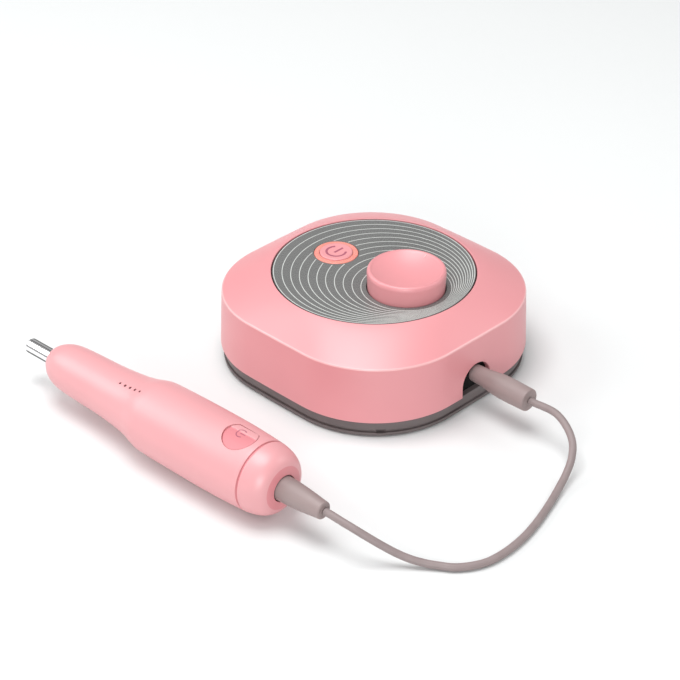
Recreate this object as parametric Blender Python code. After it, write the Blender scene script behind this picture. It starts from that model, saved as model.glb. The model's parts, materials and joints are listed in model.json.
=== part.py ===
"""Electric nail drill: a control base with a speed knob, and a corded handpiece lying beside it.

All lengths below are in millimetres and are turned into Blender's metres when a mesh is made.
Two frames hold the parts. The base frame has its origin under the middle of the base, inside the
tray's rim and a little above the table, with the plug on its +X side. The handpiece frame has its
origin at the chuck's tip, with +X running back along the spindle, so that a place along the
handpiece is a plain distance from the tip.
"""

import math

import bmesh
import bpy
from mathutils import Vector

MM = 0.001
WELD = 1e-7
GAP = 0.3  # clearance between pieces that touch
THROUGH = 1.0  # how far a cutter runs past the wall that it cuts

# --- Where the two halves stand -------------------------------------------------------------
FOOT_BOTTOM = -1.3  # the table's height in the base frame
BASE_CENTRE = (3.67, 29.28, -FOOT_BOTTOM)
HANDPIECE_TIP = (-71.3, -68.38, 13.5)
HANDPIECE_TURN = math.radians(1.86)

# --- Control base ---------------------------------------------------------------------------
BASE_HALF = 50.0
CORNER_RADIUS = 36.6
SIDE_BOW = 1.2
WALL_DRAFT = 0.85
COVER_BOTTOM = 5.0
COVER_EDGE = 26.2
COVER_TOP = 33.5
COVER_WALL = 2.0
CROWN = 1.15  # 1 is a straight slope from the edge to the dial, more is a rounder one
SIDE_STEPS = 4
CORNER_STEPS = 8

FLOOR_TOP = 31.7  # the shelf under the dial plate
FLOOR_BOTTOM = 30.0
PLATE_RADIUS = 36.3
RECESS_RADIUS = 36.8
PLATE_BOTTOM = 32.0
PLATE_TOP = 33.2

TRAY_BOTTOM = 1.0  # the underside of its floor, which the rim stands around
TRAY_INSET = 1.2
RIM_BOTTOM = -0.9
RIM_TOP = 0.5
RIM_INSET = 0.9
RIM_WALL = 2.6
GROOVE_TOP = 1.3  # a shallow groove runs all round, between the rim and the tray's side
GROOVE_INSET = 1.7
PRY_SLOT = (39.8, -37.8)  # the slot in the groove for prising the base open
PRY_SLOT_RADIUS = 2.0
TRAY_FLOOR_TOP = 3.0
TRAY_LIP_TOP = 8.0
TRAY_LIP_WALL = 1.4
FOOT_RADIUS = 3.8
FOOT_TOP = 0.7
FOOT_REACH = 33.0  # each foot's distance from the middle along X and along Y

BOSS_REACH = 27.0
BOSS_BOTTOM = 4.1
BOSS_TOP = 29.2  # inside the cover's crown, which the boss grows out of
BOSS_RADIUS = 3.2
BOSS_BORE = 1.4
BOSS_BORE_TOP = 14.0
SCREW_HEAD_RADIUS = 2.3
SCREW_SHANK_RADIUS = 1.0
SCREW_HEAD_TOP = 2.1
CASE_SCREW_END = 12.0
POST_PLACES = {
    "front_left": (-24.0, -20.5),
    "front_right": (26.0, -20.5),
    "rear_left": (-24.0, 20.5),
    "rear_right": (26.0, 20.5),
}
POST_RADIUS = 2.3
POST_TOP = 30.8  # inside the shelf under the dial plate, which the post hangs from
POST_BORE = 1.1
POST_BORE_TOP = 28.5
BOARD_SCREW_RADIUS = 0.8
BOARD_SCREW_HEAD_RADIUS = 1.8
BOARD_SCREW_END = 28.0

NOTCH_HALF = 7.0
NOTCH_CENTRE_Z = 9.0
NOTCH_STEPS = 12
LIP_GAP_HALF = 8.6  # the tray's lip stops this far each side of the plug
PLUG_Z = 12.0
WALL_INSIDE = 44.0  # the cutters for the side openings run from here
WALL_OUTSIDE = 54.0  # to here, along X or Y

# --- Controls -------------------------------------------------------------------------------
KNOB_X = 16.2
KNOB_Y = -0.5
KNOB_BASE_RADIUS = 13.7
KNOB_RIM_RADIUS = 14.0
KNOB_BOTTOM = 32.3
KNOB_TOP = 40.8
KNOB_HOLE_RADIUS = 14.2
POT_SHAFT_RADIUS = 3.0
POT_BUSHING_RADIUS = 4.3

BUTTON_X = -18.1
BUTTON_Y = -0.9
BUTTON_RADIUS = 6.0
BUTTON_TOP = 33.9
RING_RADIUS = 8.05
SWITCH_TOP = 27.0

# --- Inside the base ------------------------------------------------------------------------
CELL_RADIUS = 9.1
CELL_LENGTH = 65.0
CELL_START_X = -42.5
CELL_Y = CELL_RADIUS + 0.4
CELL_Z = 12.6
BOARD_BOTTOM = 22.2
BOARD_TOP = 23.8
POT_BODY_BOTTOM = 24.1
POT_BODY_TOP = 29.7
POT_BODY_RADIUS = 8.2
SOCKET_BACK_X = 30.0
SOCKET_FACE_X = 44.5
SOCKET_HALF = 6.0
SOCKET_FLANGE_FACE_X = 46.9
SOCKET_FLANGE_HALF = 8.0
SOCKET_FLANGE_TOP = 17.5
CHARGE_SOCKET_Z = 12.0
CHARGE_SLOT_HALF = (5.0, 2.2)

# --- Plug and cord --------------------------------------------------------------------------
PLUG_INNER_X = 48.4
PLUG_OUTER_X = 73.6
PIN_RADIUS = 1.75
PIN_TIP_X = 31.5
CORD_DIAMETER = 2.6
CORD_STEP = 6.0
# The cord's route in the row frame, from the strain relief to the plug.
CORD_ROUTE = [
    (71.6, -63.7, 13.5),
    (73.8, -63.6, 13.5),
    (77.4, -63.5, 13.3),
    (82.6, -62.5, 12.2),
    (86.9, -60.5, 10.0),
    (90.7, -57.9, 7.3),
    (94.5, -55.3, 4.9),
    (98.2, -52.7, 3.1),
    (101.9, -50.0, 2.0),
    (105.5, -47.3, 1.5),
    (109.3, -44.6, 1.4),
    (112.7, -40.3, 1.4),
    (115.1, -34.9, 1.4),
    (115.9, -27.5, 1.4),
    (115.2, -18.3, 1.4),
    (113.2, -9.0, 1.4),
    (110.2, 0.7, 1.5),
    (107.1, 9.6, 2.1),
    (104.9, 16.3, 3.8),
    (102.9, 21.2, 6.5),
    (100.1, 24.7, 9.6),
    (95.2, 27.4, 12.2),
    (88.9, 29.3, 13.6),
    (82.9, 29.4, 13.6),
    (80.2, 29.3, 13.4),
    (77.7, 29.28, 13.3),
]

# --- Handpiece: (distance from the tip, radius) ----------------------------------------------
HOUSING_OUTSIDE = [
    (13.0, 3.9),
    (13.5, 4.7),
    (14.4, 5.5),
    (16.2, 6.7),
    (18.6, 7.75),
    (21.5, 8.4),
    (26.0, 8.8),
    (33.0, 9.05),
    (42.0, 9.35),
    (49.0, 9.85),
    (55.0, 10.5),
    (59.5, 11.3),
    (63.0, 12.3),
    (65.6, 12.85),
    (69.5, 13.05),
    (78.0, 13.2),
    (90.0, 13.3),
    (102.0, 13.2),
    (110.0, 12.9),
    (115.2, 12.6),
]
HOUSING_INSIDE = [
    (115.2, 11.2),
    (63.5, 11.2),
    (58.0, 8.5),
    (50.0, 8.4),
    (50.0, 6.7),
    (24.0, 6.7),
    (24.0, 3.3),
    (13.0, 3.3),
]
TAIL_CAP_START = 116.0
TAIL_CAP_OUTSIDE = [
    (TAIL_CAP_START, 12.6),
    (118.0, 12.25),
    (120.0, 11.75),
    (121.8, 11.0),
    (123.2, 10.0),
    (124.1, 8.9),
    (124.6, 7.7),
    (125.1, 4.8),
]
TAIL_CAP_INSIDE = [
    (123.4, 4.8),
    (123.0, 7.6),
    (121.6, 9.3),
    (119.0, 10.4),
]
TAIL_SHOULDER_START = 115.5  # the bottom of the groove between the housing and the cap
TAIL_SHOULDER_RADIUS = 11.9
TAIL_SPIGOT_START = 113.5  # the cap's inner collar reaches this far into the housing
TAIL_SPIGOT_RADIUS = 10.8
TAIL_SPIGOT_BORE = 9.6
STRAIN_RELIEF = [(130.0, 4.25), (136.0, 3.75), (142.6, 3.0)]
STRAIN_NECK_RADIUS = 4.4
STRAIN_FLANGE_START = 121.3
STRAIN_FLANGE_RADIUS = 6.0

CHUCK_RADIUS = 2.8
CHUCK_BORE = 2.05
CHUCK_END = 24.0
BIT_BORE = 1.2  # for the standard 2.35 mm shank
MOTOR_START = 64.0
MOTOR_END = 95.0
MOTOR_RADIUS = 10.6
MOTOR_WALL = 0.9
BEARING_PLACES = {"front": 27.5, "rear": 44.0}
BEARING_WIDTH = 4.0

LIGHTS_START = 52.1
LIGHTS_PITCH = 2.65
LIGHTS_COUNT = 5
LIGHTS_TILT = math.radians(22.5)  # from the top towards the user
LIGHT_RADIUS = 0.4

HAND_BUTTON_PLACE = 106.8
HAND_BUTTON_TILT = math.radians(5.6)
HAND_BUTTON_RADIUS = 6.0
HAND_BUTTON_FLAT = 4.3  # how far from its middle the straight side runs
HAND_BUTTON_FACE = 13.05
HAND_BUTTON_BACK = 10.6

TURN_STEPS = 28
SMALL_STEPS = 16


# --- Materials ------------------------------------------------------------------------------
def material(name, colour, roughness, metallic=0.0):
    made = bpy.data.materials.new(name)
    made.use_nodes = True
    shader = made.node_tree.nodes["Principled BSDF"]
    shader.inputs["Base Color"].default_value = (*colour, 1.0)
    shader.inputs["Roughness"].default_value = roughness
    shader.inputs["Metallic"].default_value = metallic
    made.diffuse_color = (*colour, 1.0)
    return made


def make_materials():
    return {
        "pink_shell": material("pink_shell", (0.91, 0.42, 0.45), 0.42),
        "grey_plate": material("grey_plate", (0.25, 0.26, 0.25), 0.35),
        "coral_light": material("coral_light", (0.95, 0.26, 0.18), 0.3),
        "dark_tray": material("dark_tray", (0.16, 0.15, 0.14), 0.5),
        "mauve_rubber": material("mauve_rubber", (0.38, 0.29, 0.29), 0.55),
        "dark_rubber": material("dark_rubber", (0.04, 0.04, 0.04), 0.8),
        "chrome": material("chrome", (0.82, 0.82, 0.83), 0.1, 1.0),
        "steel": material("steel", (0.55, 0.55, 0.56), 0.3, 1.0),
        "brass": material("brass", (0.75, 0.58, 0.26), 0.3, 1.0),
        "copper": material("copper", (0.7, 0.35, 0.2), 0.4, 1.0),
        "circuit_board": material("circuit_board", (0.03, 0.22, 0.1), 0.5),
        "black_plastic": material("black_plastic", (0.03, 0.03, 0.03), 0.45),
        "battery_wrap": material("battery_wrap", (0.1, 0.25, 0.5), 0.4),
    }


# --- Mesh helpers ---------------------------------------------------------------------------
def metres(points):
    return [Vector(point) * MM for point in points]


def add_object(name, bm, parent, look, hidden=False):
    """Makes an object from a bmesh, with its faces pointing out."""
    bmesh.ops.remove_doubles(bm, verts=bm.verts, dist=WELD)
    bmesh.ops.recalc_face_normals(bm, faces=bm.faces)
    mesh = bpy.data.meshes.new(name)
    bm.to_mesh(mesh)
    bm.free()
    obj = bpy.data.objects.new(name, mesh)
    bpy.context.scene.collection.objects.link(obj)
    obj.parent = parent
    if hidden:
        obj.hide_render = True
        obj.display_type = "WIRE"
    else:
        mesh.materials.append(look)
        mesh.shade_smooth()
        mesh.set_sharp_from_angle(angle=math.radians(35))
    return obj


def turned(
    name, profile, parent, look, along="Z", steps=TURN_STEPS, centre=(0, 0, 0), hidden=False
):
    """A solid of revolution about X or Z. The profile is (place along the axis, radius), and it
    closes on itself unless both its ends lie on the axis."""
    bm = bmesh.new()
    axis = Vector((1, 0, 0)) if along == "X" else Vector((0, 0, 1))
    outward = Vector((0, 0, 1)) if along == "X" else Vector((1, 0, 0))
    middle = Vector(centre) * MM
    ring = [bm.verts.new(middle + (axis * s + outward * r) * MM) for s, r in profile]
    edges = [bm.edges.new(pair) for pair in zip(ring, ring[1:])]
    if profile[0][1] > 0 or profile[-1][1] > 0:
        edges.append(bm.edges.new((ring[-1], ring[0])))
    bmesh.ops.spin(
        bm, geom=ring + edges, cent=middle, axis=axis, angle=math.tau, steps=steps, use_merge=True
    )
    return add_object(name, bm, parent, look, hidden)


def block(name, low, high, parent, look, bevel=0.0, hidden=False):
    """A box between two corners, with its edges rounded off by one bevel step."""
    bm = bmesh.new()
    bmesh.ops.create_cube(bm, size=1.0)
    low, high = metres((low, high))
    for vert in bm.verts:
        vert.co = Vector(low[i] + (vert.co[i] + 0.5) * (high[i] - low[i]) for i in range(3))
    if bevel:
        bmesh.ops.bevel(bm, geom=bm.edges, offset=bevel * MM, segments=1, affect="EDGES")
    return add_object(name, bm, parent, look, hidden)


def prism(name, outline, shift, start, end, parent, look=None, hidden=False):
    """An outline of (u, v) points drawn along one axis: shift turns (u, v, w) into (x, y, z)."""
    bm = bmesh.new()
    near = [bm.verts.new(point) for point in metres(shift(u, v, start) for u, v in outline)]
    face = bm.faces.new(near)
    grown = bmesh.ops.extrude_face_region(bm, geom=[face])
    far = [part for part in grown["geom"] if isinstance(part, bmesh.types.BMVert)]
    reach = Vector(shift(0, 0, end)) - Vector(shift(0, 0, start))
    bmesh.ops.translate(bm, verts=far, vec=reach * MM)
    return add_object(name, bm, parent, look, hidden)


def lofted(name, rings, parent, look, capped=True):
    """Rings of equally many points joined in order. Uncapped rings close on themselves."""
    bm = bmesh.new()
    loops = [[bm.verts.new(point) for point in metres(ring)] for ring in rings]
    pairs = list(zip(loops, loops[1:]))
    if capped:
        bm.faces.new(loops[0])
        bm.faces.new(loops[-1])
    else:
        pairs.append((loops[-1], loops[0]))
    count = len(loops[0])
    for lower, upper in pairs:
        for i in range(count):
            j = (i + 1) % count
            bm.faces.new((lower[i], lower[j], upper[j], upper[i]))
    return add_object(name, bm, parent, look)


def boolean(target, operation, other):
    modifier = target.modifiers.new(f"{operation.lower()} {other.name}", "BOOLEAN")
    modifier.operation = operation
    modifier.object = other


def empty(name, parent=None, location=(0, 0, 0), rotation=(0, 0, 0)):
    made = bpy.data.objects.new(name, None)
    bpy.context.scene.collection.objects.link(made)
    made.parent = parent
    made.location = Vector(location) * MM
    made.rotation_euler = rotation
    return made


def rod_shape(name, low, high, radius, parent, centre, steps):
    """A hidden upright cylinder, which another piece is united with or cut by."""
    profile = [(low, 0), (low, radius), (high, radius), (high, 0)]
    return turned(name, profile, parent, None, steps=steps, centre=(*centre, 0), hidden=True)


# --- The base's outline ---------------------------------------------------------------------
def rounded_square(inset=0.0):
    """Points round a square whose sides bow outwards as shallow arcs, with round corners that
    run into them smoothly. The inset draws it in by that much all round."""
    half = BASE_HALF - inset
    corner = CORNER_RADIUS - inset
    side_radius = (half**2 + SIDE_BOW**2) / (2 * SIDE_BOW)
    side_centre = half - side_radius
    # The corner arc's centre (c, c) lies side_radius - corner from the side arc's centre.
    spare = side_centre**2 - (side_radius - corner) ** 2
    c = (2 * side_centre + math.sqrt(4 * side_centre**2 - 8 * spare)) / 4
    meet = math.atan2(c, c - side_centre)
    quarter = []
    for i in range(SIDE_STEPS):
        t = -meet + 2 * meet * i / SIDE_STEPS
        quarter.append((side_centre + side_radius * math.cos(t), side_radius * math.sin(t)))
    for i in range(CORNER_STEPS):
        t = meet + (math.pi / 2 - 2 * meet) * i / CORNER_STEPS
        quarter.append((c + corner * math.cos(t), c + corner * math.sin(t)))
    points = []
    for turn in range(4):
        cos, sin = math.cos(turn * math.pi / 2), math.sin(turn * math.pi / 2)
        points += [(x * cos - y * sin, x * sin + y * cos) for x, y in quarter]
    return points


def outline_at(height, inset=0.0):
    return [(x, y, height) for x, y in rounded_square(inset)]


def toward_circle(outline, radius, share, height):
    """The ring that lies a given share of the way from the outline in to a circle."""
    ring = []
    for x, y in outline:
        reach = math.hypot(x, y)
        scale = (1 - share) + share * radius / reach
        ring.append((x * scale, y * scale, height))
    return ring


# --- Base pieces ----------------------------------------------------------------------------
def corners(reach):
    return [(reach, reach), (-reach, reach), (-reach, -reach), (reach, -reach)]


def cover_rings():
    """The cover as one closed skin: up the outside, over the crown, down into the dial's recess,
    and back down the inside."""
    outside = rounded_square(WALL_DRAFT)
    inside = rounded_square(WALL_DRAFT + COVER_WALL)
    rings = [outline_at(COVER_BOTTOM), outline_at(COVER_EDGE - 0.35, WALL_DRAFT - 0.02)]
    crown_steps = 6
    for i in range(crown_steps + 1):
        share = 0.012 + (1 - 0.012) * i / crown_steps
        height = COVER_EDGE + (COVER_TOP - COVER_EDGE) * (1 - (1 - share) ** CROWN)
        rings.append(toward_circle(outside, RECESS_RADIUS, share, height))
    rings.append(toward_circle(outside, RECESS_RADIUS, 1.0, FLOOR_TOP))
    return rings, inside


def make_cover(base, look):
    rings, inside = cover_rings()
    bm = bmesh.new()
    outer = [[bm.verts.new(point) for point in metres(ring)] for ring in rings]
    inner_rings = [
        outline_at(COVER_BOTTOM, COVER_WALL),
        [(x, y, COVER_EDGE - 1.0) for x, y in inside],
        toward_circle(inside, RECESS_RADIUS - COVER_WALL, 1.0, FLOOR_BOTTOM),
    ]
    inner = [[bm.verts.new(point) for point in metres(ring)] for ring in inner_rings]
    count = len(outer[0])
    walls = list(zip(outer, outer[1:])) + list(zip(inner, inner[1:])) + [(outer[0], inner[0])]
    for lower, upper in walls:
        for i in range(count):
            j = (i + 1) % count
            bm.faces.new((lower[i], lower[j], upper[j], upper[i]))
    bm.faces.new(outer[-1])
    bm.faces.new(inner[-1])
    cover = add_object("top_cover", bm, base, look)

    for number, place in enumerate(corners(BOSS_REACH)):
        name = f"boss_shape_{number}"
        boss = rod_shape(name, BOSS_BOTTOM, BOSS_TOP, BOSS_RADIUS, base, place, 16)
        boolean(cover, "UNION", boss)
    for number, place in enumerate(corners(BOSS_REACH)):
        bore = rod_shape(f"boss_bore_{number}", 0, BOSS_BORE_TOP, BOSS_BORE, base, place, 12)
        boolean(cover, "DIFFERENCE", bore)
    for name, place in POST_PLACES.items():
        low = BOARD_TOP + GAP
        post = rod_shape(f"post_shape_{name}", low, POST_TOP, POST_RADIUS, base, place, 12)
        boolean(cover, "UNION", post)
        bore = rod_shape(f"post_bore_{name}", BOARD_TOP, POST_BORE_TOP, POST_BORE, base, place, 8)
        boolean(cover, "DIFFERENCE", bore)

    low, high = FLOOR_BOTTOM - THROUGH, FLOOR_TOP + THROUGH
    for name, place, radius in (
        ("bushing_hole", (KNOB_X, KNOB_Y), POT_BUSHING_RADIUS + GAP),
        ("button_hole", (BUTTON_X, BUTTON_Y), BUTTON_RADIUS + GAP),
    ):
        boolean(cover, "DIFFERENCE", rod_shape(name, low, high, radius, base, place, 24))

    arch = [(-NOTCH_HALF, 0.0), (NOTCH_HALF, 0.0)]
    for i in range(NOTCH_STEPS + 1):
        t = math.pi * i / NOTCH_STEPS
        arch.append((NOTCH_HALF * math.cos(t), NOTCH_CENTRE_Z + NOTCH_HALF * math.sin(t)))
    notch = prism(
        "notch_shape", arch, lambda u, v, w: (w, u, v), WALL_INSIDE, WALL_OUTSIDE, base, hidden=True
    )
    boolean(cover, "DIFFERENCE", notch)
    half_width, half_height = CHARGE_SLOT_HALF
    slot = block(
        "charge_slot_shape",
        (-half_width, WALL_INSIDE, CHARGE_SOCKET_Z - half_height),
        (half_width, WALL_OUTSIDE, CHARGE_SOCKET_Z + half_height),
        base,
        None,
        bevel=1.5,
        hidden=True,
    )
    boolean(cover, "DIFFERENCE", slot)


def make_tray(base, look):
    """The floor has a rim standing down around it, and a wall with a lip inside the cover."""
    top = COVER_BOTTOM - GAP
    lip_inset = COVER_WALL + GAP
    inside = lip_inset + TRAY_LIP_WALL
    rings = [
        outline_at(TRAY_BOTTOM, RIM_INSET + RIM_WALL),
        outline_at(RIM_BOTTOM, RIM_INSET + RIM_WALL),
        outline_at(RIM_BOTTOM, RIM_INSET + 0.4),
        outline_at(RIM_BOTTOM + 0.4, RIM_INSET),
        outline_at(RIM_TOP, RIM_INSET),
        outline_at(RIM_TOP, GROOVE_INSET),
        outline_at(GROOVE_TOP, GROOVE_INSET),
        outline_at(GROOVE_TOP, TRAY_INSET),
        outline_at(top, TRAY_INSET),
        outline_at(top, lip_inset),
        outline_at(TRAY_LIP_TOP, lip_inset),
        outline_at(TRAY_LIP_TOP, inside),
        outline_at(TRAY_FLOOR_TOP, inside),
    ]
    tray = lofted("base_tray", rings, base, look)
    lip_gap = block(
        "lip_gap_shape",
        (WALL_INSIDE, -LIP_GAP_HALF, top),
        (WALL_OUTSIDE, LIP_GAP_HALF, TRAY_LIP_TOP + THROUGH),
        base,
        None,
        hidden=True,
    )
    boolean(tray, "DIFFERENCE", lip_gap)
    low, high = RIM_TOP - 0.2, GROOVE_TOP + 0.4
    slot = rod_shape("pry_slot_shape", low, high, PRY_SLOT_RADIUS, base, PRY_SLOT, 16)
    boolean(tray, "DIFFERENCE", slot)
    seat = SCREW_HEAD_TOP + 0.1
    top = TRAY_FLOOR_TOP + THROUGH
    head = SCREW_HEAD_RADIUS + GAP
    shank = SCREW_SHANK_RADIUS + GAP
    low = TRAY_BOTTOM - THROUGH
    profile = [(low, 0), (low, head), (seat, head), (seat, shank), (top, shank), (top, 0)]
    for number, place in enumerate(corners(BOSS_REACH)):
        name = f"screw_hole_{number}"
        hole = turned(name, profile, base, None, centre=(*place, 0), hidden=True, steps=16)
        boolean(tray, "DIFFERENCE", hole)


def make_feet_and_screws(base, looks):
    names = ["rear_right", "rear_left", "front_left", "front_right"]
    edge = 0.3
    foot = [
        (FOOT_BOTTOM, 0),
        (FOOT_BOTTOM, FOOT_RADIUS - edge),
        (FOOT_BOTTOM + edge, FOOT_RADIUS),
        (FOOT_TOP, FOOT_RADIUS),
        (FOOT_TOP, 0),
    ]
    for name, place in zip(names, corners(FOOT_REACH)):
        turned(f"foot_{name}", foot, base, looks["dark_rubber"], centre=(*place, 0), steps=24)
    screw = [
        (TRAY_BOTTOM + 0.1, 0),
        (TRAY_BOTTOM + 0.1, SCREW_HEAD_RADIUS),
        (SCREW_HEAD_TOP - GAP, SCREW_HEAD_RADIUS),
        (SCREW_HEAD_TOP - GAP, SCREW_SHANK_RADIUS),
        (CASE_SCREW_END - 0.5, SCREW_SHANK_RADIUS),
        (CASE_SCREW_END, 0),
    ]
    for name, place in zip(names, corners(BOSS_REACH)):
        turned(f"case_screw_{name}", screw, base, looks["steel"], centre=(*place, 0), steps=12)


def make_dial(base, looks):
    profile = [
        (PLATE_BOTTOM, 0),
        (PLATE_BOTTOM, PLATE_RADIUS),
        (PLATE_TOP, PLATE_RADIUS),
        (PLATE_TOP, 0),
    ]
    plate = turned("dial_plate", profile, base, looks["grey_plate"], steps=48)
    low, high = PLATE_BOTTOM - THROUGH, PLATE_TOP + THROUGH
    for name, place, radius in (
        ("knob_clearance", (KNOB_X, KNOB_Y), KNOB_HOLE_RADIUS),
        ("ring_clearance", (BUTTON_X, BUTTON_Y), RING_RADIUS + 0.15),
    ):
        boolean(plate, "DIFFERENCE", rod_shape(name, low, high, radius, base, place, TURN_STEPS))

    inner = BUTTON_RADIUS + 0.25
    profile = [
        (PLATE_BOTTOM, inner),
        (PLATE_TOP + 0.2, inner),
        (PLATE_TOP + 0.2, RING_RADIUS - 0.2),
        (PLATE_TOP, RING_RADIUS),
        (PLATE_BOTTOM, RING_RADIUS),
    ]
    turned("button_light_ring", profile, base, looks["coral_light"], centre=(BUTTON_X, BUTTON_Y, 0))


def make_board(base, looks):
    board = block(
        "control_board",
        (-28, -23, BOARD_BOTTOM),
        (30, 23, BOARD_TOP),
        base,
        looks["circuit_board"],
    )
    low, high = BOARD_BOTTOM - THROUGH, BOARD_TOP + THROUGH
    head_top = BOARD_BOTTOM - GAP
    screw = [
        (head_top - 1.0, 0),
        (head_top - 1.0, BOARD_SCREW_HEAD_RADIUS),
        (head_top, BOARD_SCREW_HEAD_RADIUS),
        (head_top, BOARD_SCREW_RADIUS),
        (BOARD_SCREW_END, BOARD_SCREW_RADIUS),
        (BOARD_SCREW_END, 0),
    ]
    for name, place in POST_PLACES.items():
        hole_radius = BOARD_SCREW_RADIUS + GAP
        hole = rod_shape(f"board_hole_{name}", low, high, hole_radius, base, place, 8)
        boolean(board, "DIFFERENCE", hole)
        centre = (*place, 0)
        turned(f"board_screw_{name}", screw, base, looks["steel"], centre=centre, steps=8)


def make_speed_control(base, looks):
    bushing_top = 34.4
    shaft_bore = POT_SHAFT_RADIUS + GAP
    body = [
        (POT_BODY_BOTTOM, 0),
        (POT_BODY_BOTTOM, POT_BODY_RADIUS),
        (POT_BODY_TOP, POT_BODY_RADIUS),
        (POT_BODY_TOP, POT_BUSHING_RADIUS),
        (bushing_top, POT_BUSHING_RADIUS),
        (bushing_top, shaft_bore),
        (POT_BODY_BOTTOM + 1.9, shaft_bore),
        (POT_BODY_BOTTOM + 1.9, 0),
    ]
    place = (KNOB_X, KNOB_Y, 0)
    turned("potentiometer_body", body, base, looks["steel"], centre=place, steps=24)
    bore = POT_BUSHING_RADIUS + GAP
    nut_radius, nut_top = 6.4, bushing_top - 0.2
    nut = [
        (PLATE_BOTTOM, bore),
        (PLATE_BOTTOM, nut_radius),
        (nut_top, nut_radius),
        (nut_top, bore),
    ]
    turned("potentiometer_nut", nut, base, looks["brass"], centre=place, steps=24)


def make_power_switch(base, looks):
    body_radius, body_top, stem_radius = 3.4, 26.0, 1.6
    switch = [
        (POT_BODY_BOTTOM, 0),
        (POT_BODY_BOTTOM, body_radius),
        (body_top, body_radius),
        (body_top, stem_radius),
        (SWITCH_TOP, stem_radius),
        (SWITCH_TOP, 0),
    ]
    place = (BUTTON_X, BUTTON_Y, 0)
    turned("power_switch", switch, base, looks["black_plastic"], centre=place, steps=12)


def make_batteries(base, looks):
    edge = 0.6
    profile = [
        (0, 0),
        (0, CELL_RADIUS - edge),
        (edge, CELL_RADIUS),
        (CELL_LENGTH - 1.2, CELL_RADIUS),
        (CELL_LENGTH - 1.0, 3.0),
        (CELL_LENGTH, 2.8),
        (CELL_LENGTH, 0),
    ]
    for name, y in (("battery_cell_front", -CELL_Y), ("battery_cell_rear", CELL_Y)):
        place = (CELL_START_X, y, CELL_Z)
        turned(name, profile, base, looks["battery_wrap"], "X", centre=place, steps=24)
    wall = 1.2
    start_x, end_x = CELL_START_X - GAP, CELL_START_X + CELL_LENGTH + GAP
    reach_y = CELL_Y + CELL_RADIUS + GAP
    frame = block(
        "battery_holder",
        (start_x - wall, -reach_y - wall, TRAY_FLOOR_TOP + GAP),
        (end_x + wall, reach_y + wall, CELL_Z - 2.0),
        base,
        looks["black_plastic"],
    )
    room = block(
        "holder_room", (start_x, -reach_y, 0), (end_x, reach_y, 30), base, None, hidden=True
    )
    boolean(frame, "DIFFERENCE", room)


def make_sockets(base, looks):
    socket = block(
        "handpiece_socket",
        (SOCKET_BACK_X, -SOCKET_HALF, PLUG_Z - SOCKET_HALF),
        (SOCKET_FACE_X, SOCKET_HALF, PLUG_Z + SOCKET_HALF),
        base,
        looks["black_plastic"],
        bevel=0.6,
    )
    flange = block(
        "socket_flange_shape",
        (SOCKET_FACE_X - 0.5, -SOCKET_FLANGE_HALF, COVER_BOTTOM),
        (SOCKET_FLANGE_FACE_X, SOCKET_FLANGE_HALF, SOCKET_FLANGE_TOP),
        base,
        None,
        hidden=True,
    )
    boolean(socket, "UNION", flange)
    bore_radius = PIN_RADIUS + GAP
    start, end = SOCKET_BACK_X + 1.0, SOCKET_FLANGE_FACE_X + THROUGH
    bore = [(start, 0), (start, bore_radius), (end, bore_radius), (end, 0)]
    centre = (0, 0, PLUG_Z)
    cutter = turned("socket_bore", bore, base, None, "X", 20, centre, hidden=True)
    boolean(socket, "DIFFERENCE", cutter)

    charge = block(
        "charge_socket",
        (-4.5, 39.5, CHARGE_SOCKET_Z - 1.65),
        (4.5, 47.2, CHARGE_SOCKET_Z + 1.65),
        base,
        looks["steel"],
        bevel=1.2,
    )
    mouth = block(
        "charge_mouth",
        (-4.1, 41.0, CHARGE_SOCKET_Z - 1.25),
        (4.1, 49.0, CHARGE_SOCKET_Z + 1.25),
        base,
        None,
        bevel=0.8,
        hidden=True,
    )
    boolean(charge, "DIFFERENCE", mouth)


def make_leads(base, axis, looks):
    """Each lead is one insulated wire between two pieces, run clear of what lies around it."""
    pad = BOARD_BOTTOM - GAP
    cell_end = 23.4
    plain, thick, core = 1.2, 1.6, 1.8
    front_cell = [(cell_end, -CELL_Y, 13.0), (26.2, -CELL_Y, 15.5), (27.0, -CELL_Y, pad)]
    rear_cell = [(cell_end, CELL_Y, 13.0), (26.2, CELL_Y, 15.5), (27.0, CELL_Y, pad)]
    socket = [(SOCKET_BACK_X - 0.4, 0, 13.0), (27.3, 0, 15.5), (26.6, 0, pad)]
    charge = [(0, 39.1, 12.0), (0, 32.0, 12.8), (0, 24.5, 17.5), (0, 21.5, pad)]
    motor = [(MOTOR_END + 3.7, 0, 2.6), (101.5, 0, 3.8), (104.5, 0, 4.2)]
    cord = [(120.9, 0, 0), (117.2, 0, 1.0), (113.6, 0, 2.9), (109.0, 0, 3.9)]
    for name, parent, look, diameter, points in (
        ("battery_lead_red", base, "coral_light", plain, front_cell),
        ("battery_lead_black", base, "black_plastic", plain, rear_cell),
        ("socket_lead", base, "black_plastic", plain, socket),
        ("charge_lead", base, "black_plastic", thick, charge),
        ("motor_lead", axis, "coral_light", plain, motor),
        ("cord_core", axis, "black_plastic", core, cord),
    ):
        tube(name, smooth_curve(points, 2.5 * diameter), diameter, looks[look], parent)


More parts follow.
